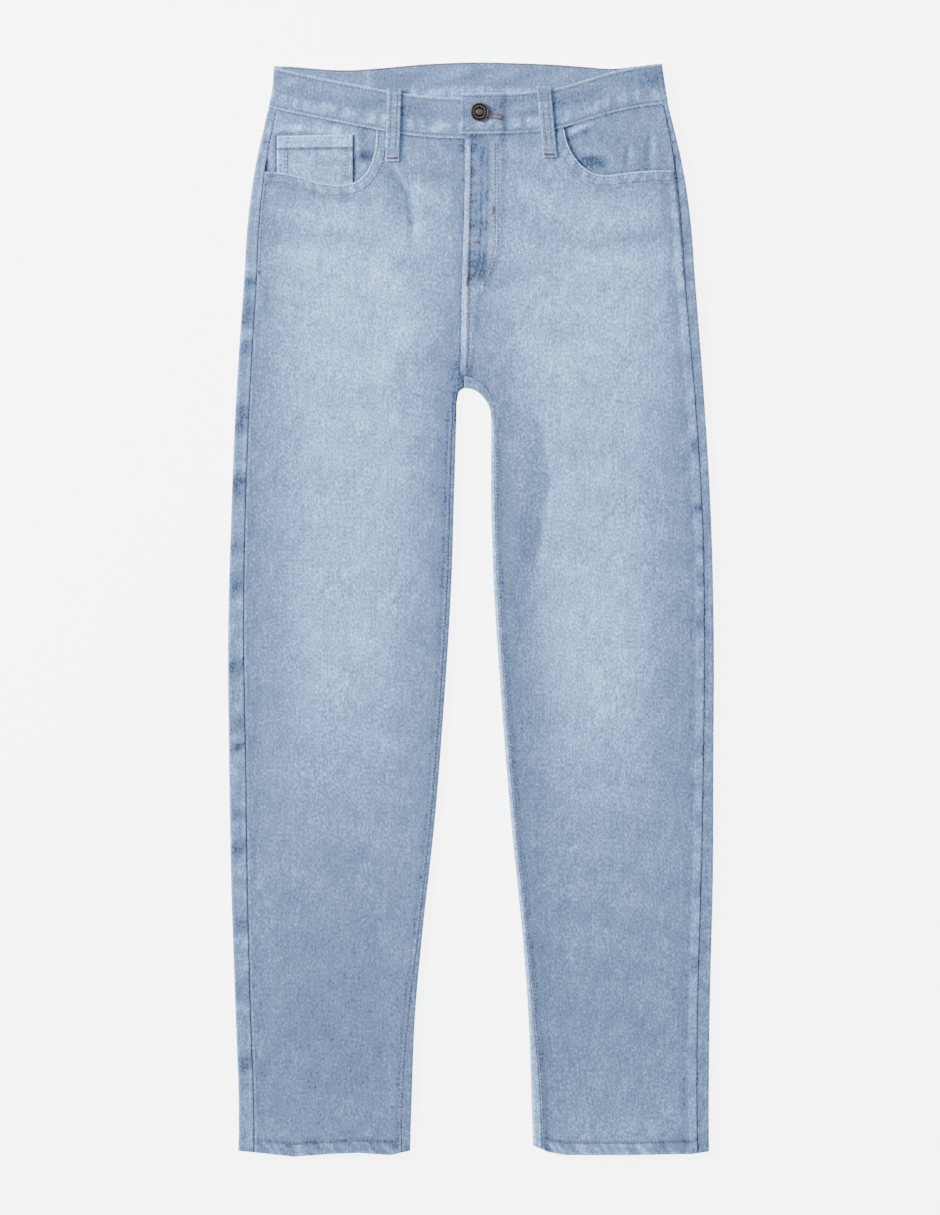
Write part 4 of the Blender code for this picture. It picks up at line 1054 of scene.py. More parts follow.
# Painted shadow: a dark line just under the coin pocket's top hem, 11.6 to 13.6 mm below its top.
tone = 0.66 + 0.08 * ripple(x, y, 20, 61) - 0.50 * strip(hemmed, 11.6, 13.6) + 0.34 * bell(rim, 1.2)
tone = tone - 0.16 * strip(inset, 9.0, 10.4) * (hemmed > 12) + 0.12 * blotch(x, y, 62, 5, 7) * (inset < 9)
tone = tone + 0.12 * strip(hemmed, 1.0, 11.0) - 0.12 * strip(hemmed, 5.0, 7.5)
grid[..., 2] += 0.30 * strip(hemmed, -2, 12, 1.2) + 0.22 * strip(inset, -2, 9, 1.5) - 0.2 * strip(hemmed, 5.5, 7.0)
piece = cloth("coin_pocket_cloth", [grid], [tone], FACING)
dress(piece, ["coin_pocket"])

# %% [markdown]
# ## Waistband and loops
# The waistband is one straight strip that goes from its end under the button, round the
# left fold, along the back and round to the buttonhole. Belt loops are narrow strips over
# it, bridged a little so that a belt can pass.

# %% Waistband
BAND_SHARE = np.linspace(0, 1, 24)[:, None]
INNER_SEAM = -95.8


def band_height(x, y, table):
    """Front of the band: over the stack, raised at the overlap, softly quilted between its stitch rows."""
    raised = (BAND + ABOVE) * ease((BAND_END_LEFT + 9 - x) / 7) if table is BAND_RIGHT else 0.0
    depth = band_top(table, x) - y
    quilt = 0.25 * np.sin(math.pi * np.clip(depth / BAND_DEPTH, 0, 1)) ** 0.6
    pucker = blotch(x + 0.3 * y, y, 72, 8, 14) * (0.5 * strip(depth, 4, 12, 4) + strip(depth, 20, 35, 6))
    rows = bell(depth - 3.2, 0.9) + bell(depth - 35, 0.9)
    return top_face(x, y) + raised + quilt + 0.22 * pucker - 0.22 * rows + 0.50 * ripple(x, y, 34, 71)


def band_tone(x, y, table, base):
    """Tone of the band: pale edges, a bluer upper half, patches worn pale along the lower rows, a pale line at the
    back band's inner seam, and a painted shadow right of the front loops.
    """
    depth = band_top(table, x) - y
    pucker = blotch(x + 0.3 * y, y, 72, 8, 14)
    streak = blotch(x, y - 0.25 * x, 74, 60, 7)
    rows = bell(depth - 3.2, 1.0) + bell(depth - 34.6, 1.0)
    edge = bell(depth, 1.5) + 0.9 * bell(depth - BAND_DEPTH, 1.4)
    middle = (0.13 * streak - 0.09) * strip(depth, 5, 22, 6) + (0.12 + 0.22 * pucker) * strip(depth, 23, 33, 5)
    # Back band: a pale line at its inner seam; front band: a painted shadow right of each loop.
    seam_line_and_loop_shadow = 0.30 * bell(x - INNER_SEAM, 2.0) if table is BAND_BACK else -0.20 * loop_shade(x, y)
    return base - 0.14 * rows + 0.46 * edge + middle + seam_line_and_loop_shadow + 0.07 * ripple(x, y, 26, 73)


def band_part(x, table, height, base):
    """Columns of the strip at the given places, each from the band's seam up to its top edge."""
    y = band_top(table, x) - BAND_DEPTH * (1 - BAND_SHARE)
    return np.stack([x, y, height(x, y)], axis=-1), band_tone(x, y, table, base)


def band_turn(side, table):
    """The strip's columns round one end of the flat garment, from the front to the back."""
    high = band_top(BAND_BACK, outer_edge(side, 500.0))
    fold = outer_edge(side, high - BAND_DEPTH * (1 - BAND_SHARE))
    x = fold - side * FOLD * (1 - np.cos(ARC))
    y_front = band_top(table, x) - BAND_DEPTH * (1 - BAND_SHARE)
    y_back = band_top(BAND_BACK, x) - BAND_DEPTH * (1 - BAND_SHARE)
    y = np.where(ARC > 0, y_front, y_back)
    low, top = under_face(y), band_height(fold - side * FOLD + 0 * x, y, table)
    z = low + (top - low) * (1 + np.sin(ARC)) / 2
    return np.stack([x, y, z], axis=-1), band_tone(x, y, table, 0.44) + 0 * x, fold[:, 0] - side * FOLD


def waistband():
    """The whole strip, and its tone."""
    left, left_tone, left_in = band_turn(LEFT, BAND_LEFT)
    right, right_tone, right_in = band_turn(RIGHT, BAND_RIGHT)
    part = np.linspace(0, 1, 110)[None, :-1]
    start = band_part(blend(BAND_END_LEFT, left_in[:, None], part), BAND_LEFT,
                      lambda x, y: band_height(x, y, BAND_LEFT), 0.47)
    back = band_part(blend(left_in[:, None], right_in[:, None], np.linspace(0, 1, 130)[None, 1:-1]), BAND_BACK,
                     lambda x, y: under_face(y), 0.50)
    part = np.linspace(0, 1, 112)[None, 1:]
    end = band_part(blend(right_in[:, None], BAND_END_RIGHT, part), BAND_RIGHT,
                    lambda x, y: band_height(x, y, BAND_RIGHT), 0.42)
    strips = [start, (left, left_tone), back, (right[:, ::-1], right_tone[:, ::-1]), end]
    return np.concatenate([s[0] for s in strips], axis=1), np.concatenate([s[1] for s in strips], axis=1)


grid, tone = waistband()
dress(cloth("waistband_strip", [grid], [tone], BAND, down=True), ["waistband"])

# %% Belt loops
Loop = namedtuple("Loop", "name x0 y0 x1 y1 width front")
LOOPS = [
    Loop("belt_loop_front_left", -71.1, 484.0, -73.2, 416.0, 12.6, True),
    Loop("belt_loop_front_right", 67.4, 486.0, 73.6, 419.5, 12.8, True),
    Loop("belt_loop_back_left", -118, 501, -116, 442, 12.6, False),
    Loop("belt_loop_back_centre", -3, 508, -3, 449, 12.6, False),
    Loop("belt_loop_back_right", 112, 503, 110, 444, 12.6, False),
]
LOOP_HUMP = 1.1
LOOP_STITCH = 3.1


def loop_grid(row):
    """A strip on its straight line: arched along it by a sine, edges rounded by a fourth power."""
    share = np.linspace(0, 1, 64)[:, None]
    part = np.linspace(-1, 1, 15)
    x = blend(row.x0, row.x1, share) + part * row.width / 2
    y = blend(row.y0, row.y1, share) + 0 * part
    groove = -0.16 * bell(np.abs(part) * row.width / 2 - LOOP_STITCH, 0.7)
    round_off = -0.30 * part ** 6
    if row.front:
        arch = LOOP_HUMP * np.sin(math.pi * share) ** 0.7
        folded = 0.45 * strip(share, -1, 0.10, 0.03) + 0.45 * strip(share, 0.90, 2, 0.03)
        z = top_face(x, y).max(axis=1, keepdims=True) + ABOVE + LOOP + arch + folded + groove + round_off
    else:
        z = -(groove + round_off)
    pucker = roping(y, row.x0, 7.0)
    creased = 0.20 * bell(share - 0.90, 0.015) + 0.10 * bell(share - 0.10, 0.015)
    tone = 0.51 + 0.09 * pucker + 0.30 * np.abs(part) ** 8 - creased + 0.16 * strip(share, 0.91, 2, 0.02)
    tone = tone + 0.8 * groove
    return np.stack([x, y, z + 0 * x], axis=-1), tone + 0 * x


LOOP_GRIDS = {}
for row in LOOPS:
    grid, tone = loop_grid(row)
    LOOP_GRIDS[row.name] = grid
    piece = cloth(row.name + "_strip", [grid], [tone], LOOP, down=not row.front)
    dress(piece, [row.name])
print("belt loops:", len(LOOPS))

# %% [markdown]
# ## Back pockets
# Two pointed patches lie face down under the seat. The patch is a grid in which every
# column goes down to the pointed foot; its top hem is a strip that stands off a little.

# %% Back pockets
BackPocket = namedtuple("BackPocket", "name x y lean")
BACK_POCKETS = [
    BackPocket("back_pocket_left", -112, 388, 3),
    BackPocket("back_pocket_right", 104, 388, -3),
]
POCKET_TOP, POCKET_FOOT, POCKET_DEPTH, POCKET_POINT = 140.0, 124.0, 112.0, 150.0


def pocket_plan(row, part, down):
    """Place on the pocket: part across from -1 to 1, down from 0 at its hem to 1 at its foot."""
    depth = down * (POCKET_DEPTH + (POCKET_POINT - POCKET_DEPTH) * (1 - np.abs(part)))
    x = part * blend(POCKET_TOP, POCKET_FOOT, np.minimum(depth / POCKET_DEPTH, 1)) / 2
    lean = math.radians(row.lean)
    return (row.x + x * math.cos(lean) + depth * math.sin(lean),
            row.y + x * math.sin(lean) - depth * math.cos(lean), depth)


for row in BACK_POCKETS:
    part, down = np.linspace(-1, 1, 71), np.linspace(0, 1, 72)[:, None]
    x, y, depth = pocket_plan(row, part, down)
    rim = np.minimum((1 - np.abs(part)) * 66, (1 - down) * 130)
    z = 0.18 * ease(rim / 8) * ease(depth / 20) + 0.05 * ripple(x, y, 34, 81)
    tone = 0.52 + 0.05 * ripple(x, y, 30, 83) - 0.10 * strip(rim, 8.5, 10.5) - 0.12 * strip(depth, 12.5, 14.5)
    tone = tone + 0.12 * bell(rim, 1.6) + 0.12 * bell(depth, 1.6) + 0.03 * roping(x + y, 2.0)
    grid = np.stack([x, y, np.maximum(z, 0)], axis=-1)
    piece = cloth(row.name + "_patch", [grid], [tone], FACING, down=True)
    dress(piece, [row.name])

# %% [markdown]
# ## Topstitching
# The seams are sewn with a thick tan-pink thread. Each stitch is a short spindle of five
# sides, laid between two points of the cloth and sunk a little at its ends. All stitches
# of a group are worked out together, so thousands of them cost one small array.

# %% Stitch maker
THREAD, PITCH, STITCH = 0.36, 3.3, 2.6
SPINDLE = [(0.10, 0.75), (0.5, 1.0), (0.90, 0.75)]
MOUTH_ROWS, BAND_ROWS, FELLED_ROWS = (2.0, 9.2), (3.2, BAND_DEPTH - 3.0), (2.6, 8.4)
INSEAM_ROW, SIDE_ROW, HEM_ROW = 1.6, 2.0, 11.2
TACK_Y = 313.0
BACK_THREADS, FRONT_THREADS = [], []


def spaced(path, pitch):
    """Points and directions at even spacing along a smooth curve through the given places."""
    path = np.asarray(path, float)
    fine = along(path, np.linspace(0, 1, 40 * len(path)))
    run = np.concatenate([[0], np.cumsum(np.hypot(*np.diff(fine, axis=0).T))])
    at = np.arange(pitch / 2, run[-1] - pitch / 3, pitch)
    places = np.stack([np.interp(at, run, fine[:, i]) for i in (0, 1)], axis=1)
    ahead = np.stack([np.interp(at + 0.1, run, fine[:, i]) for i in (0, 1)], axis=1)
    way = ahead - places
    return places, way / np.maximum(np.linalg.norm(way, axis=1, keepdims=True), 1e-9)


def sew(group, path, height, length=STITCH, pitch=PITCH, turn=0.0):
    """Stitches along a path, each turned by an angle from it, lying at height(x, y)."""
    places, way = spaced(path, pitch)
    c, s = math.cos(turn), math.sin(turn)
    way = np.stack([way[:, 0] * c - way[:, 1] * s, way[:, 0] * s + way[:, 1] * c], axis=1) * length / 2
    ends = [places - way, places + way]
    group.append(tuple(np.column_stack([end[:, 0], hem_shift(end[:, 0], end[:, 1]), height(end[:, 0], end[:, 1])])
                       for end in ends))


def bartack(group, x, y, length, width, height, turn=90.0):
    """A dense bar of thread: short stitches side by side along a line."""
    way = np.array([math.cos(math.radians(turn)), math.sin(math.radians(turn))]) * length / 2
    sew(group, [(x - way[0], y - way[1]), (x, y), (x + way[0], y + way[1])], height, width, 0.75, math.pi / 2)


def stitches(name, group, down):
    """One mesh of all stitches: rings of five points round each stitch's axis, closed by a tip at both ends."""
    start = np.concatenate([pair[0] for pair in group])
    end = np.concatenate([pair[1] for pair in group])
    count = len(start)
    way = end - start
    way /= np.linalg.norm(way, axis=1, keepdims=True)
    lift = np.array([0, 0, -1.0 if down else 1.0])
    side = np.cross(way, lift)
    side /= np.linalg.norm(side, axis=1, keepdims=True)
    up = np.cross(side, way)
    turn = np.arange(5) * 2 * math.pi / 5
    rings = [start[:, None] - 0.12 * up[:, None]]
    for share, size in SPINDLE:
        middle = blend(start, end, share) + up * (THREAD * 0.6 * size)
        ring = np.cos(turn)[None, :, None] * side[:, None] + np.sin(turn)[None, :, None] * up[:, None]
        rings.append(middle[:, None] + THREAD * size * ring)
    rings.append(end[:, None] - 0.12 * up[:, None])
    points = np.concatenate(rings, axis=1)
    step = np.arange(5)
    after = (step + 1) % 5
    tips = [np.stack([0 * step, 1 + after, 1 + step], axis=1),
            np.stack([0 * step + 16, 11 + step, 11 + after], axis=1)]
    sides = [np.stack([first + step, first + after, first + 5 + after, first + 5 + step], axis=1) for first in (1, 6)]
    base = np.arange(count)[:, None, None] * 17
    faces = [f for part in tips + sides for f in (part[None] + base).reshape(-1, part.shape[1]).tolist()]
    made = make_object(name, points.reshape(-1, 3), faces)
    print(name, count, "stitches")
    return made


# %% Front rows
def front_at(side):
    """Height function of one front, for its stitches."""
    return lambda x, y: front_height(side, x, y)


def offset(path, gap):
    """The path moved sideways to its left by a gap."""
    path = np.asarray(path, float)
    way = np.gradient(path, axis=0)
    way /= np.linalg.norm(way, axis=1, keepdims=True)
    return path + gap * np.stack([-way[:, 1], way[:, 0]], axis=1)


def clear_of_loops(x):
    """True where no front loop hides the band's rows."""
    return np.all([np.abs(x - row.x0) > 8 for row in LOOPS if row.front], axis=0)


leg_y = np.linspace(HEM_LINE + 16, 170, 24)
for side in (LEFT, RIGHT):
    at = front_at(side)
    for gap in MOUTH_ROWS:
        line = mouth_points(side)[:-1] if gap > 5 else mouth_points(side)
        sew(FRONT_THREADS, offset(line, side * gap), at)
    row_x = inner_edge(side, leg_y) + side * (inseam(side, leg_y) + INSEAM_ROW)
    sew(FRONT_THREADS, np.stack([row_x, leg_y], axis=1), at)
    inner_x, outer_x = inner_edge(side, -490.0) + side * 10, outer_edge(side, -490.0) - side * 18
    hem_x = np.linspace(min(inner_x, outer_x), max(inner_x, outer_x), 9)
    sew(FRONT_THREADS, np.stack([hem_x, 0 * hem_x + HEM_LINE + HEM_ROW], axis=1), at)
    hip_y = np.linspace(400, 318, 6)
    row_x = outer_edge(side, hip_y) - side * (side_seam(side, hip_y) + SIDE_ROW)
    sew(FRONT_THREADS, np.stack([row_x, hip_y], axis=1), at)
    tack_x = outer_edge(side, TACK_Y) - side * (side_seam(side, TACK_Y) + SIDE_ROW)
    bartack(FRONT_THREADS, tack_x, TACK_Y, 5, 2.2, at)

at = front_at(RIGHT)
fly_y = np.linspace(433, 306, 8)
sew(FRONT_THREADS, np.stack([fly_edge(fly_y) + 5.4, fly_y], axis=1), at)
rise_y = np.linspace(300, 222, 7)
sew(FRONT_THREADS, np.stack([fly_edge(rise_y) + 6.4 * ease((rise_y - 200) / 40) + 0.6, rise_y], axis=1), at)
sew(FRONT_THREADS, FLY_STITCH, at)
sew(FRONT_THREADS, offset(FLY_STITCH, 2.6), at)
bartack(FRONT_THREADS, -3.0, 306, 12, 3.2, at, 80)
bartack(FRONT_THREADS, 5.0, 341.5, 6, 2.2, at, 0)
bartack(FRONT_THREADS, 20.8, 371, 8, 2.4, at, 84)

# %% Band, coin pocket, loops and buttonhole rows
for table, first, last in ((BAND_LEFT, -181.0, -12.0), (BAND_RIGHT, BAND_END_RIGHT + 3.0, 174.0)):
    for depth in BAND_ROWS:
        x = np.linspace(first, last, 160)
        for run in np.split(x, np.flatnonzero(np.diff(clear_of_loops(x).astype(int))) + 1):
            if clear_of_loops(run).all() and run[-1] - run[0] > 8:
                run = np.linspace(run[0], run[-1], 12)
                row = np.stack([run, band_top(table, run) - depth], axis=1)
                sew(FRONT_THREADS, row, lambda x, y, t=table: band_height(x, y, t))
end_x = BAND_END_RIGHT + 2.6
sew(FRONT_THREADS, [(end_x, 446), (end_x, 460), (end_x, 475)], lambda x, y: band_height(x, y, BAND_RIGHT))
coin = [(COIN_LEFT + 7, 399), (COIN_LEFT + 7, 437)], [(COIN_RIGHT - 7, 398), (COIN_RIGHT - 7, 437)]
for low, high in coin:
    for shift in (0, 2.4):
        x = low[0] + shift
        sew(FRONT_THREADS, [(x, low[1]), (x, 418), (x, high[1])], coin_height)
for drop in (2.4, 11.5):
    sew(FRONT_THREADS, [(x, coin_top(x) - drop) for x in (COIN_LEFT + 3, -145, COIN_RIGHT - 3)],
        coin_height)
for x in (COIN_LEFT + 8, COIN_RIGHT - 7):
    bartack(FRONT_THREADS, x, 438, 6, 2.2, coin_height, 0)
for row in LOOPS:
    grid = LOOP_GRIDS[row.name]
    for seam_place in (4, 10):
        line = grid[5:-5:6, seam_place]
        group = FRONT_THREADS if row.front else BACK_THREADS
        levels = grid[:, seam_place]
        sew(group, line[:, :2], lambda x, y, l=levels: np.interp(-y, -l[:, 1], l[:, 2]))
    for end in ((-4,) if row.front else (3, -4)):
        middle = grid[end, 7]
        bartack(FRONT_THREADS if row.front else BACK_THREADS, middle[0], middle[1], row.width - 2, 2.4,
                lambda x, y, z=middle[2]: z + 0 * x, 0)
HOLE = [(14.6, 460.2), (17.4, 462.2), (20.4, 460.6), (24.0, 459.6), (28.2, 458.8), (28.8, 457.2), (28.2, 455.6),
        (24.0, 456.0), (20.4, 456.6), (17.4, 456.0), (14.6, 458.2), (14.2, 459.2)]
sew(FRONT_THREADS, HOLE, lambda x, y: band_height(x, y, BAND_RIGHT) + 0.25, 2.2, 0.62, math.pi / 2)

# %% Inner edge of the back band, seen above the front
def band_inside(x, y):
    """Inner face of the back band, seen above the front."""
    return under_face(y) + BAND + 0.02


x = np.linspace(-176, 168, 12)
for drop in (0.7, 1.5):
    sew(FRONT_THREADS, np.stack([x, band_top(BAND_BACK, x) - drop], axis=1), band_inside, 3.0, 2.6)


# %% Underside rows
def under_at(x, y):
    """Outer face of the back layer, for its stitches."""
    return under_face(y) + hollow(x, y)


for side in (LEFT, RIGHT):
    x = np.linspace(side * 172, CENTRE_BACK + side * 14, 8)
    for gap in FELLED_ROWS:
        sew(BACK_THREADS, np.stack([x, yoke_seam(side, x) - gap], axis=1), under_at)
    inner_x, outer_x = inner_edge(side, -490.0) + side * 6, outer_edge(side, -490.0) - side * 6
    hem_x = np.linspace(min(inner_x, outer_x), max(inner_x, outer_x), 9)
    sew(BACK_THREADS, np.stack([hem_x, 0 * hem_x + HEM_LINE + HEM_ROW], axis=1), under_at)
y = np.linspace(222, 464, 9)
for gap in FELLED_ROWS:
    sew(BACK_THREADS, np.stack([0 * y + CENTRE_BACK - gap, y], axis=1), under_at)
x = np.linspace(-172, 164, 120)
far = np.all([np.abs(x - row.x0) > 8 for row in LOOPS if not row.front], axis=0)
for depth in BAND_ROWS:
    for run in np.split(x, np.flatnonzero(np.diff(far.astype(int))) + 1):
        if np.all([np.abs(run.mean() - row.x0) > 8 for row in LOOPS if not row.front]):
            run = np.linspace(run[0], run[-1], 12)
            sew(BACK_THREADS, np.stack([run, band_top(BAND_BACK, run) - depth], axis=1), lambda x, y: under_face(y))
for row in BACK_POCKETS:
    for inset in (0.045, 0.135):
        level = 1 - inset * 0.5
        sides = [(-1 + inset, 0.02), (-1 + inset, 0.35), (-1 + inset, 0.7), (-1 + inset, level)]
        foot = [(-1 + inset, level), (-0.5, level - inset * 0.2), (0, level - inset * 0.3)]
        for way in (-1, 1):
            for run in (sides, foot):
                part, down = np.array(run).T
                x, y, _ = pocket_plan(row, way * part, down)
                sew(BACK_THREADS, np.stack([x, y], axis=1), lambda x, y: 0 * x + 0.1)
    for depth in (3.0, 13.0):
        part = np.linspace(-0.9, 0.9, 7)
        x, y, _ = pocket_plan(row, part, depth / (POCKET_DEPTH + (POCKET_POINT - POCKET_DEPTH) * (1 - np.abs(part))))
        sew(BACK_THREADS, np.stack([x, y], axis=1), lambda x, y: 0 * x + 0.1)

front_threads = dress(stitches("threads_front", FRONT_THREADS, False), [])
back_threads = dress(stitches("threads_underside", BACK_THREADS, True), [])

# %% [markdown]
# ## Button
# A jeans button is a pressed cap over a neck. The cap is a profile turned round its
# axis, and its rings of dots and ridges are a second wave that depends on the angle. The
# tone on its points tells the finish where wear has left the metal pale.

# %% Button
BUTTON_X, BUTTON_Y, BUTTON_RADIUS = 7.9, 461.8, 8.7
Turn = namedtuple("Turn", "radius height")
CAP = [
    Turn(0, 3.35), Turn(0.14, 3.34), Turn(0.28, 3.24), Turn(0.38, 2.96), Turn(0.43, 2.80), Turn(0.48, 2.92),
    Turn(0.54, 3.08), Turn(0.72, 3.12), Turn(0.79, 3.02), Turn(0.83, 2.92), Turn(0.88, 3.14), Turn(0.94, 3.10),
    Turn(0.985, 2.72), Turn(1.0, 2.3), Turn(0.985, 1.9), Turn(0.93, 1.6), Turn(0.5, 1.5), Turn(0.36, 1.2),
    Turn(0.34, 0.1), Turn(0, 0.1),
]
DOTS, RIDGES = 22, 48

turn = np.linspace(0, 2 * math.pi, 144, endpoint=False)
profile = cubic(np.arange(len(CAP)), np.array(CAP), np.linspace(0, len(CAP) - 1, 92))
radius, height = np.maximum(profile[:, 0], 0)[:, None], profile[:, 1][:, None]
on_top = profile[:, 1][:, None] > 2.7
dots = bell(radius - 0.63, 0.055) * np.maximum(np.cos(DOTS * turn), -0.2)
ridges = bell(radius - 0.885, 0.04) * np.cos(RIDGES * turn)
height = height + on_top * (0.20 * dots + 0.07 * ridges)
seat = float(band_height(np.array([BUTTON_X]), np.array([BUTTON_Y]), BAND_RIGHT)[0])
rings = np.stack([BUTTON_X + radius * BUTTON_RADIUS * np.cos(turn), BUTTON_Y + radius * BUTTON_RADIUS * np.sin(turn),
                  seat + height + 0 * turn], axis=-1)[1:-1]
count, around = rings.shape[:2]
poles = np.array([[BUTTON_X, BUTTON_Y, seat + CAP[0].height], [BUTTON_X, BUTTON_Y, seat + CAP[-1].height]])
step = np.arange(around)
after = (step + 1) % around
body = np.concatenate([np.stack([r * around + step, (r + 1) * around + step, (r + 1) * around + after,
                                 r * around + after], axis=1) for r in range(count - 1)])
last = (count - 1) * around
caps = np.concatenate([np.stack([0 * step + count * around, step, after], axis=1),
                       np.stack([0 * step + count * around + 1, last + after, last + step], axis=1)])
worn = 0.10 + 0.95 * np.clip(dots, 0, 1) + 0.42 * bell(radius - 0.93, 0.06)
worn = worn + 0.45 * np.exp(-(radius / 0.34) ** 6)
worn = np.append((worn + 0 * turn)[1:-1].ravel(), (worn[0, 0], 0.0))
button = make_object("button_cap", np.concatenate([rings.reshape(-1, 3), poles]), body.tolist() + caps.tolist(), worn)
dress(button, ["button"])
print("button:", len(button.data.polygons), "faces, seat at", round(seat, 2), "mm")

# %% [markdown]
# ## Finishes
# Denim is blue warp over white weft, so its colour is a mix that speckles at the scale of
# a thread. The tone attribute picks a colour between worn and unworn, and carries the
# painted shade as darker tone; noise stretched along the leg gives the warp streaks, and
# a fine bump breaks up the light. Tan thread and dark metal are simpler: a colour with a
# slow drift, and roughness.

# %% Shader helpers
def shader(name, roughness, metallic=0.0):
    """A new material: its node tree, its Principled shader and an Object coordinate node."""
    made = bpy.data.materials.new(name)
    made.use_nodes = True
    tree = made.node_tree
    principled = tree.nodes["Principled BSDF"]
    principled.inputs["Roughness"].default_value = roughness
    principled.inputs["Metallic"].default_value = metallic
    return made, tree, principled, tree.nodes.new("ShaderNodeTexCoord")


def add(tree, kind, *links, **values):
    """A node with links into named sockets and with set values."""
    node = tree.nodes.new(kind)
    for key, value in values.items():
        if key in node.inputs:
            node.inputs[key].default_value = value
        else:
            setattr(node, key, value)
    for source, socket in links:
        tree.links.new(source, node.inputs[socket])
    return node


def noise(tree, coordinate, scale, detail, stretch=(1, 1, 1)):
    """Noise on Object coordinates, stretched: a small factor along an axis makes long streaks."""
    mapping = add(tree, "ShaderNodeMapping", (coordinate.outputs["Object"], "Vector"), Scale=stretch)
    return add(tree, "ShaderNodeTexNoise", (mapping.outputs[0], "Vector"), Scale=scale, Detail=detail)


def value_of(tree, operation, first, second, third=None):
    """A Math node: sockets or plain numbers."""
    node = tree.nodes.new("ShaderNodeMath")
    node.operation = operation
    for i, item in enumerate((first, second, third)):
        if item is None:
            continue
        if isinstance(item, (int, float)):
            node.inputs[i].default_value = item
        else:
            tree.links.new(item, node.inputs[i])
    return node.outputs[0]


def ramp(tree, factor, stops):
    """A colour ramp through (position, colour) stops."""
    node = add(tree, "ShaderNodeValToRGB", (factor, "Fac"))
    while len(node.color_ramp.elements) < len(stops):
        node.color_ramp.elements.new(0.5)
    for element, (position, colour) in zip(node.color_ramp.elements, stops):
        element.position, element.color = position, (*colour, 1.0)
    return node


# %% Denim, thread and metal
WASH = [
    (0.0, (0.045, 0.068, 0.135)), (0.2, (0.096, 0.160, 0.300)), (0.36, (0.129, 0.186, 0.328)),
    (0.5, (0.154, 0.232, 0.405)), (0.75, (0.246, 0.400, 0.690)), (0.87, (0.318, 0.508, 0.830)),
    (1.0, (0.50, 0.70, 0.96)),
]


WEAVE_SCALE, WARP_SCALE, CLOUD_SCALE, TWILL_SCALE = 640.0, 420.0, 45.0, 230.0
SPECKLE, STREAK, CLOUD, LEVEL = 1.20, 0.30, 0.16, -0.83


def denim(name):
    """Washed denim: tone plus thread-scale speckle, through the wash colours."""
    made, tree, principled, coordinate = shader(name, 0.92)
    tone = add(tree, "ShaderNodeAttribute", attribute_name="tone")
    speckle = noise(tree, coordinate, WEAVE_SCALE, 2.0, (1.0, 0.6, 1.0))
    streak = noise(tree, coordinate, WARP_SCALE, 2.0, (1.0, 0.10, 1.0))
    cloud = noise(tree, coordinate, CLOUD_SCALE, 3.0)
    total = value_of(tree, "MULTIPLY_ADD", speckle.outputs["Fac"], SPECKLE, tone.outputs["Fac"])
    total = value_of(tree, "MULTIPLY_ADD", streak.outputs["Fac"], STREAK, total)
    total = value_of(tree, "MULTIPLY_ADD", cloud.outputs["Fac"], CLOUD, total)
    total = value_of(tree, "ADD", total, LEVEL)
    colour = ramp(tree, total, WASH)
    tree.links.new(colour.outputs["Color"], principled.inputs["Base Color"])
    twill = add(tree, "ShaderNodeTexWave", (coordinate.outputs["Object"], "Vector"),
                Scale=TWILL_SCALE, Distortion=1.5, bands_direction="DIAGONAL")
    relief = value_of(tree, "MULTIPLY_ADD", twill.outputs["Fac"], 0.25, speckle.outputs["Fac"])
    bump = add(tree, "ShaderNodeBump", (relief, "Height"), Strength=0.35, Distance=0.0004)
    tree.links.new(bump.outputs["Normal"], principled.inputs["Normal"])
    principled.inputs["Sheen Weight"].default_value = 0.04
    principled.inputs["Sheen Roughness"].default_value = 0.6
    principled.inputs["Specular IOR Level"].default_value = 0.2
    return made


def thread_finish():
    """Tan-pink cotton thread with a slow drift of colour."""
    made, tree, principled, coordinate = shader("tan_thread", 0.75)
    drift = noise(tree, coordinate, 120.0, 2.0)
    colour = ramp(tree, drift.outputs["Fac"], [(0.35, (0.095, 0.070, 0.078)), (0.65, (0.23, 0.155, 0.150))])
    tree.links.new(colour.outputs["Color"], principled.inputs["Base Color"])
    return made


METAL = [(0.25, (0.020, 0.018, 0.022)), (0.65, (0.16, 0.115, 0.095)), (1.0, (0.60, 0.56, 0.52))]


def metal_finish():
    """Aged metal: dark enamel, brown where the cap's middle is worn, pale on its raised marks."""
    made, tree, principled, coordinate = shader("aged_metal", 0.42, 1.0)
    worn = add(tree, "ShaderNodeAttribute", attribute_name="tone")
    drift = noise(tree, coordinate, 900.0, 3.0)
    level = value_of(tree, "MULTIPLY_ADD", drift.outputs["Fac"], 0.2, worn.outputs["Fac"])
    colour = ramp(tree, level, METAL)
    tree.links.new(colour.outputs["Color"], principled.inputs["Base Color"])
    return made


front_denim, under_denim = denim("washed_denim"), denim("washed_denim_underside")
tan, metal = thread_finish(), metal_finish()
for name, piece in PIECES.items():
    under = name.startswith(("back_", "yoke_", "belt_loop_back"))
    finish = metal if name == "button_cap" else tan if name.startswith("threads") else \
        under_denim if under else front_denim
    piece.data.materials.clear()
    piece.data.materials.append(finish)
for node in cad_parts.values():
    node.data.materials.clear()
    node.data.materials.append(front_denim)
print("materials:", len(bpy.data.materials))

# %% [markdown]

# %% [markdown]
# ## Stage
# The photograph is taken from straight above on a white ground. The floor is a wide pale
# sheet, the light a bright sky with two soft lamps, stronger from the left, and the
# camera stands far enough away that the garment is seen almost without perspective.

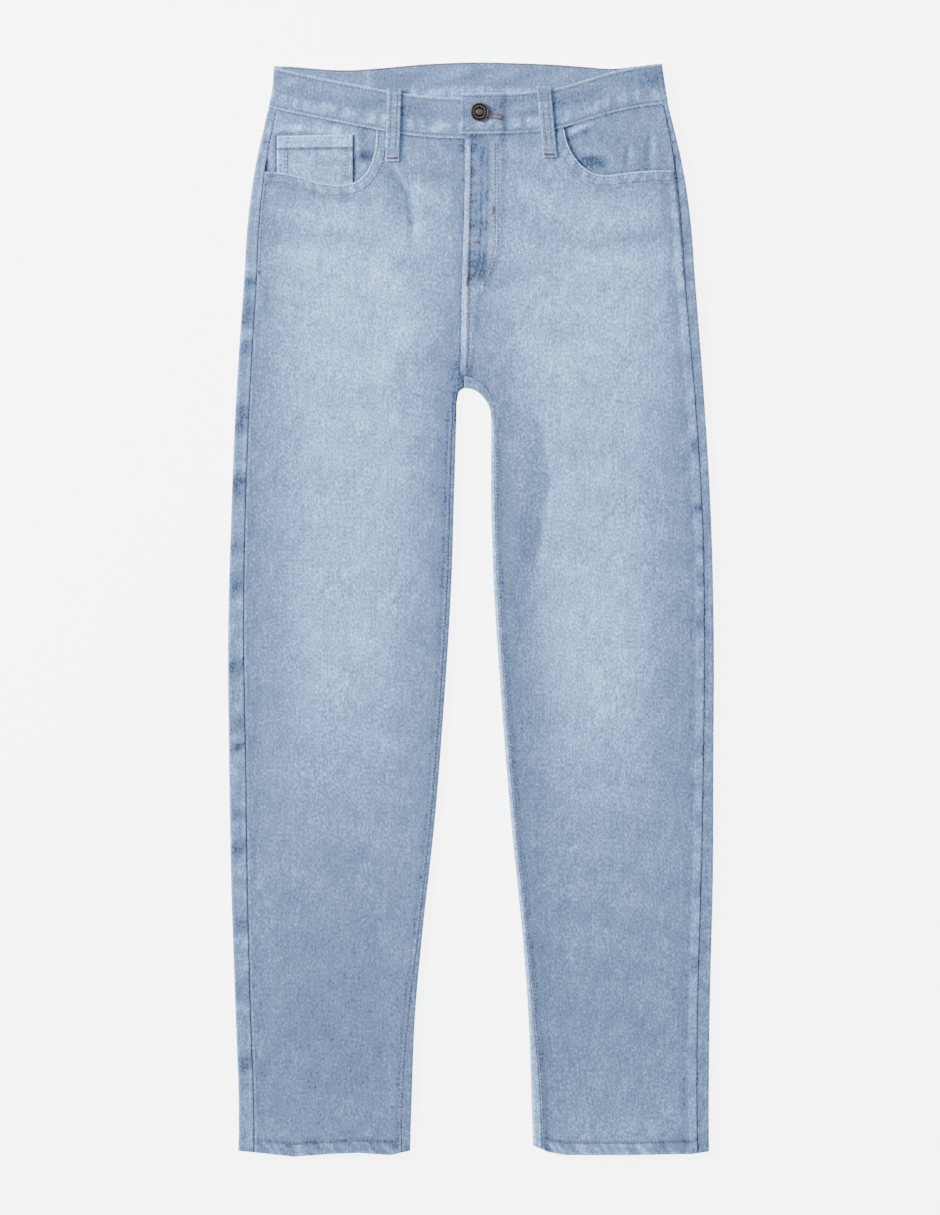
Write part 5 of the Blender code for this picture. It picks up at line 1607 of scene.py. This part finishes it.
# %% Floor, light and camera
FLOOR_SIZE, FLOOR_DROP = 8.0, 0.0007
PHOTO_MM = 0.93
PHOTO_WIDE, PHOTO_TALL = 940, 1215
CENTRE_PX, CENTRE_PY = 471.0, 609.5
CAMERA_HEIGHT, SENSOR = 5.0, 36.0
TABLE_GLOW, SKY = 5.0, 0.75
Lamp = namedtuple("Lamp", "name place size watts")
LAMPS = [Lamp("key", (-2.3, 1.0, 1.6), 0.8, 185.0), Lamp("fill", (1.9, 1.2, 2.2), 1.6, 18.0)]


def plain_finish(name, pale, dim):
    """Matt paper with a barely visible drift between two greys."""
    made, tree, principled, coordinate = shader(name, 0.9)
    drift = noise(tree, coordinate, 3.0, 2.0)
    colour = ramp(tree, drift.outputs["Fac"], [(0.3, dim), (0.7, pale)])
    tree.links.new(colour.outputs["Color"], principled.inputs["Base Color"])
    principled.inputs["Specular IOR Level"].default_value = 0.1
    principled.inputs["Emission Color"].default_value = (1.0, 1.0, 1.0, 1.0)
    principled.inputs["Emission Strength"].default_value = TABLE_GLOW
    return made


half = FLOOR_SIZE / 2 / MM
side_run = np.linspace(-half, half, 5)
floor_points = np.stack([*np.meshgrid(side_run, side_run), np.full((5, 5), -FLOOR_DROP / MM)], axis=-1).reshape(-1, 3)
floor = make_object("floor", floor_points, cells(5, 5).tolist())
floor.data.materials.append(plain_finish("pale_floor", (0.92, 0.92, 0.92), (0.90, 0.90, 0.90)))

world = bpy.data.worlds.new("bright_room")
bpy.context.scene.world = world
world.use_nodes = True
world.node_tree.nodes["Background"].inputs["Color"].default_value = (1.0, 1.0, 1.0, 1.0)
world.node_tree.nodes["Background"].inputs["Strength"].default_value = SKY


def lamp(name, place, size, watts):
    """A square soft lamp that looks at the middle of the garment."""
    light = bpy.data.lights.new(name, "AREA")
    light.size, light.energy = size, watts
    made = bpy.data.objects.new(name, light)
    x, y, z = place
    made.location = place
    flat = math.hypot(x, y)
    made.rotation_euler = (math.atan2(flat, z), 0.0, math.atan2(x, -y) if flat else 0.0)
    bpy.context.scene.collection.objects.link(made)


for row in LAMPS:
    lamp(*row)
print("lamps:", len(LAMPS))

camera_data = bpy.data.cameras.new("camera")
camera_data.sensor_fit = "VERTICAL"
camera_data.sensor_height = SENSOR
camera_data.lens = SENSOR * CAMERA_HEIGHT / (PHOTO_TALL * PHOTO_MM * MM)
camera = bpy.data.objects.new("camera", camera_data)
camera.location = ((PHOTO_WIDE / 2 - CENTRE_PX) * PHOTO_MM * MM, (CENTRE_PY - PHOTO_TALL / 2) * PHOTO_MM * MM,
                   CAMERA_HEIGHT)
bpy.context.scene.collection.objects.link(camera)
bpy.context.scene.camera = camera
